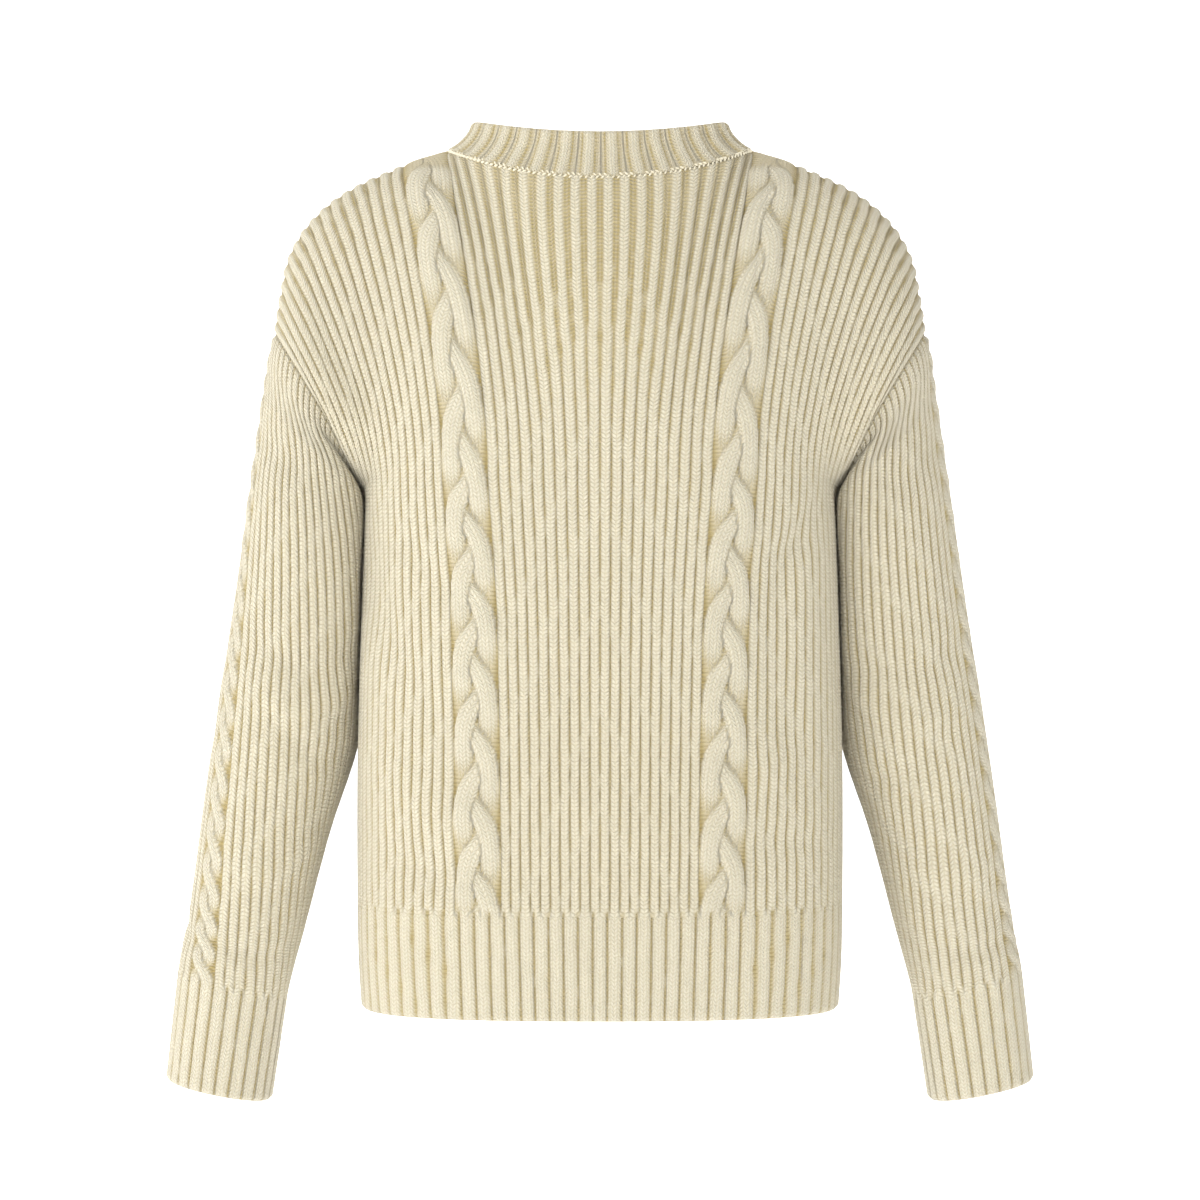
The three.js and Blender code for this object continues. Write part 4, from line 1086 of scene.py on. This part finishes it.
def sleeve(side_name):
    side = SIDES[side_name]
    turning = SLEEVE_TURNS[side_name]
    last = len(SLEEVE_SECTIONS)
    rows = np.linspace(0, last, int(SLEEVE_LENGTH / ROW_STEP) + 4)
    turn = np.arange(0, 1, 1 / RING_STEPS)
    dense, dense_out = sleeve_dense(turn, rows, SLEEVE_LEANS[side_name])
    ribs = (np.arange(SLEEVE_SIDE_RIBS)[:, None] + RIB_STEPS).ravel() * SLEEVE_PITCH
    cable = np.linspace(0, SLEEVE_CABLE_HALF, SLEEVE_CABLE_STEPS, endpoint=False)
    half = np.concatenate((cable, SLEEVE_CABLE_HALF + ribs))
    offsets = np.concatenate((-half[:0:-1], half))
    base = np.empty((len(rows), len(offsets), 3))
    out = np.empty_like(base)
    inside_seam = np.empty(base.shape[:2])
    for i, down in enumerate(rows):
        turned = mix(*turning, down / last)
        base[i], out[i], girth = respaced(dense[i], dense_out[i], turn, turned, offsets, False)
        inside_seam[i] = girth / 2 - np.abs(offsets)
    down_way = np.linspace(0, SLEEVE_LENGTH, len(rows))[:, None]
    marks = LEFT_SLEEVE_CREASES if side_name == "left" else RIGHT_SLEEVE_CREASES
    creases = crease_relief(offsets[None, :], down_way, marks)
    creases *= smooth(inside_seam, 18, 50) * smooth(down_way, 4, 30)
    creases *= 1 - smooth(down_way, SLEEVE_LENGTH - 25, SLEEVE_LENGTH - 4)
    base = base + out * creases[..., None]

    distance = np.abs(offsets)
    count = (distance - SLEEVE_CABLE_HALF) / SLEEVE_PITCH
    length = column_lengths(base)
    height, painted_light, wale = rib_relief_and_shade(count[None, :], SLEEVE_PITCH, length)
    in_cable = distance < SLEEVE_CABLE_HALF
    across = offsets[in_cable] / SLEEVE_CABLE_HALF
    run = side * down_way / SLEEVE_CABLE_REPEAT
    strands, strand_bright, strand_wale = strand_field(across[None, :], run, 2)
    rise = height * RIB_RISE
    rise[:, in_cable] = strands * SLEEVE_CABLE_RISE
    # Painted light of the rope: painted shadow under lapped strands
    painted_light[:, in_cable] = strand_bright
    wale[:, in_cable] = strand_wale + 0.5
    cuff_pitch = girth / CUFF_RIBS
    cuff_offset = (np.mod(distance / cuff_pitch, 1) - 0.5) * cuff_pitch
    cuff_height, cuff_bright, _ = wide_relief_and_shade(cuff_offset, cuff_pitch, CUFF_RIB_HALF,
                                              RIBBING_WALES)
    to_end = length[-1:] - length
    joint = smooth(to_end, *JOINT)
    rise = mix(cuff_height[None, :] * HEM_RISE, rise, joint)
    painted_light = mix(cuff_bright[None, :], painted_light, joint)
    rise *= smooth(length, 0, SEAM_TAPER) * smooth(inside_seam, 0, INNER_SEAM_TAPER)
    courses = down_way * np.ones_like(length)
    knit = np.stack((wale, courses / COURSE), axis=-1)
    mirror = np.array((side, 1, 1))
    cloth_wall(f"sleeve_{side_name}", wool_knit, base * mirror, out * mirror, rise, knit, painted_light,
               False, INNER_STEP, INNER_STEP, seamed=True)


def cuff(side_name):
    turning = SLEEVE_TURNS[side_name]
    dense_turn = np.arange(0, 1, 1 / RING_STEPS)
    start = sleeve_ring(SLEEVE_SECTIONS[-1], dense_turn, SLEEVE_LEANS[side_name])
    end = sleeve_ring(CUFF_END, dense_turn, SLEEVE_LEANS[side_name])
    downs = np.linspace(0, 1, CUFF_ROWS)
    dense = np.array([mix(start, end, down) for down in downs])
    dense_out = grid_normals(dense, True, dense.mean(axis=1, keepdims=True))
    columns = CUFF_RIBS * RIBBING_STEPS
    base = np.empty((len(downs), columns, 3))
    out = np.empty_like(base)
    shares = np.arange(columns) / columns
    for i in range(len(downs)):
        base[i], out[i], girth = respaced(dense[i], dense_out[i], dense_turn, turning[1], shares,
                                          True)
    count = np.arange(columns) / RIBBING_STEPS
    mirror = np.array((SIDES[side_name], 1, 1))
    ribbing(f"cuff_{side_name}", base * mirror, out * mirror, count, girth / CUFF_RIBS,
            CUFF_RIB_HALF, HEM_RISE, True)


# Facing of the neck seam: lean and lift at front and back, the same on the shoulders, where the
# shoulder starts as a share of the half width, and height that the collar leans to
SEAM_LEAN = 0.2
SEAM_LIFT = 40
SEAM_SIDE_LEAN = 0.4
SEAM_SIDE_LIFT = 0.92
SEAM_OVER = 0.6
SEAM_CENTRE_HEIGHT = 60
COLLAR_MIDDLE_DROP = 20
COLLAR_TURNED = 0.5


def neck_loop(loop, turn):
    quarter = np.floor(turn * 4).astype(int) % 4
    share = turn * 4 - np.floor(turn * 4)
    front = (quarter == 1) | (quarter == 2)
    share = np.where((quarter == 0) | (quarter == 2), share, 1 - share)
    point = np.where(front[:, None], neck_point(loop, share, True) * (1, -1, 1),
                     neck_point(loop, share, False))
    point[:, 0] *= np.where(quarter < 2, 1, -1)
    return point


def collar():
    columns = COLLAR_RIBS * COLLAR_STEPS
    turn = np.arange(columns) / columns
    seam = neck_loop(NECK, turn)
    top = neck_loop(COLLAR, turn)
    along = np.roll(seam, -1, axis=0) - np.roll(seam, 1, axis=0)
    side = np.abs(seam[:, 0]) / NECK["half_width"]
    over = smooth(side, SEAM_OVER, 1)[:, None]
    shoulder_out = np.sign(seam) * (SEAM_SIDE_LEAN, 0, 0) + (0, 0, SEAM_SIDE_LIFT)
    seam_out = unit(mix(unit(seam * (SEAM_LEAN, 1, 0) + (0, 0, SEAM_LIFT)), unit(shoulder_out),
                        over))
    away = unit(np.cross(along, seam_out))
    inwards = seam * (-1, -1, 0) + (0, 0, SEAM_CENTRE_HEIGHT)
    away *= np.sign(np.sum(away * inwards, axis=-1))[:, None]
    reach = norm(top - seam, axis=-1, keepdims=True)
    ups = np.linspace(0, 1, COLLAR_ROWS)
    lift = reach * np.array((0, 0, 1))
    base = np.array([hermite(seam, away * reach * COLLAR_LEAVE, top, lift, up) for up in ups])
    middle = (base.mean(axis=1, keepdims=True) - COLLAR_MIDDLE_DROP) * (0, 0, 1)
    out = grid_normals(base, True, middle)
    out = unit(mix(out, seam_out[None], (1 - smooth(ups, 0, COLLAR_TURNED))[:, None, None]))
    pitch = norm(np.roll(base, -1, axis=1) - base, axis=-1) * COLLAR_STEPS
    count = np.arange(columns) / COLLAR_STEPS
    ribbing("collar", base, out, count, pitch, COLLAR_RIB_HALF, COLLAR_RISE, True,
            FINE_INNER_STEP, COLLAR_RIB_FLATNESS)
    linking(seam, seam_out, away, unit(along))


def linking(seam, seam_out, away, along):
    """Two rows of slanted loops that join the collar to the neck edge, as a chain."""
    work = bmesh.new()
    bmesh.ops.create_icosphere(work, subdivisions=2, radius=1)
    ball = np.array([vert.co[:] for vert in work.verts])
    ball_faces = np.array([[vert.index for vert in face.verts] for face in work.faces])
    work.free()
    steps = norm(np.roll(seam, -1, axis=0) - seam, axis=-1)
    run = running(steps)
    loops = int(run[-1] / LOOP_PITCH)
    points, faces = [], []
    for row, (lift, slant) in enumerate(((LOOP_LIFT, LOOP_SLANT), (-LOOP_LIFT, -LOOP_SLANT))):
        spots = (np.arange(loops) + 0.5 * row) * run[-1] / loops
        seam_at, out_at, away_at, along_at = (
            at_places(np.concatenate((values, values[:1])), run, spots)
            for values in (seam, seam_out, away, along))
        for i in range(loops):
            up = unit(out_at[i])
            long_way = unit(along_at[i] + slant * away_at[i])
            cross_way = unit(np.cross(long_way, up))
            centre = seam_at[i] + up * LOOP_HEIGHT + away_at[i] * lift
            centre = centre + rng.normal(0, LOOP_SHAKE, 3)
            size = np.array(LOOP_SIZE) * rng.uniform(*LOOP_SIZES, 3)
            frame_of_loop = np.array((long_way, cross_way, up)) * size[:, None]
            faces.append(ball_faces + len(ball) * len(points))
            points.append(centre + ball @ frame_of_loop)
    mesh = bpy.data.meshes.new("collar_linking")
    mesh.from_pydata((np.concatenate(points) * MM).tolist(), [], np.concatenate(faces).tolist())
    shade_smooth(mesh)
    garment_piece(mesh, wool_link)


def build_sweater():
    for side_name, front in (("back", False), ("front", True)):
        body_panel(side_name, front)
        hem_rib(side_name, front)
    for side_name in ("left", "right"):
        sleeve(side_name)
        cuff(side_name)
    collar()


build_sweater()

# Photograph's view: level, from behind, at the height of the middle of the garment
VIEW_DISTANCE = 2500
VIEW_HEIGHT = -333
VIEW_WIDTH = 888
SENSOR = 36
CLIP_END = 100
WORLD_STRENGTH = 0.54

# Area lights: name, place in metres, size in metres and power in watts
LIGHTS = (
    ("key", (2.0, 2.0, 1.2), 1.1, 36),
    ("face", (0.25, 3.0, -0.1), 1.2, 20),
    ("side", (2.6, 0.2, 0.1), 1.6, 31),
    ("fill", (-1.9, 2.0, 0.1), 1.8, 14),
    ("top", (0.0, 0.4, 2.2), 2.0, 18),
    ("behind", (0.0, -2.4, 1.2), 2.0, 25),
)

# Backdrop in metres: heights of floor and top, front edge, place of the wall, bend and half width
FLOOR = -1.0
WALL_TOP = 5.0
FLOOR_FRONT = 8.0
WALL_AT = -6.0
BEND_RADIUS = 1.0
BEND_STEPS = 12
HALF_WIDTH = 12.0


def studio():
    camera_data = bpy.data.cameras.new("camera")
    camera = placed("camera", camera_data)
    camera.location = (0, VIEW_DISTANCE * MM, VIEW_HEIGHT * MM)
    camera.rotation_euler = (math.radians(90), 0, math.radians(180))
    camera_data.sensor_width = SENSOR
    camera_data.lens = SENSOR * VIEW_DISTANCE / VIEW_WIDTH
    camera_data.clip_end = CLIP_END
    bpy.context.scene.camera = camera

    for name, place, size, power in LIGHTS:
        light_data = bpy.data.lights.new(name, "AREA")
        light_data.size = size
        light_data.energy = power
        light = placed(name, light_data)
        light.location = place
        aim = Vector((0, 0, VIEW_HEIGHT * MM)) - Vector(place)
        light.rotation_euler = aim.to_track_quat("-Z", "Y").to_euler()

    world = bpy.data.worlds.new("studio")
    bpy.context.scene.world = world
    world.use_nodes = True
    background = world.node_tree.nodes["Background"]
    background.inputs["Color"].default_value = (1, 1, 1, 1)
    background.inputs["Strength"].default_value = WORLD_STRENGTH
    bpy.context.scene.view_settings.view_transform = "Standard"


def backdrop():
    """Pale floor that turns up into a pale wall behind the garment."""
    profile = [(FLOOR_FRONT, FLOOR), (WALL_AT + BEND_RADIUS, FLOOR)]
    for i in range(1, BEND_STEPS + 1):
        angle = math.pi / 2 * i / BEND_STEPS
        y = WALL_AT + BEND_RADIUS * (1 - math.sin(angle))
        profile.append((y, FLOOR + BEND_RADIUS * (1 - math.cos(angle))))
    profile.append((WALL_AT, WALL_TOP))
    points = [(x, y, z) for x in (-HALF_WIDTH, HALF_WIDTH) for y, z in profile]
    count = len(profile)
    faces = [(i, i + 1, count + i + 1, count + i) for i in range(count - 1)]
    mesh = bpy.data.meshes.new("backdrop")
    mesh.from_pydata(points, [], faces)
    shade_smooth(mesh)
    mesh.materials.append(new_material("backdrop", BACKDROP_SURFACE)[0])
    made = placed("backdrop", mesh)


studio()
backdrop()
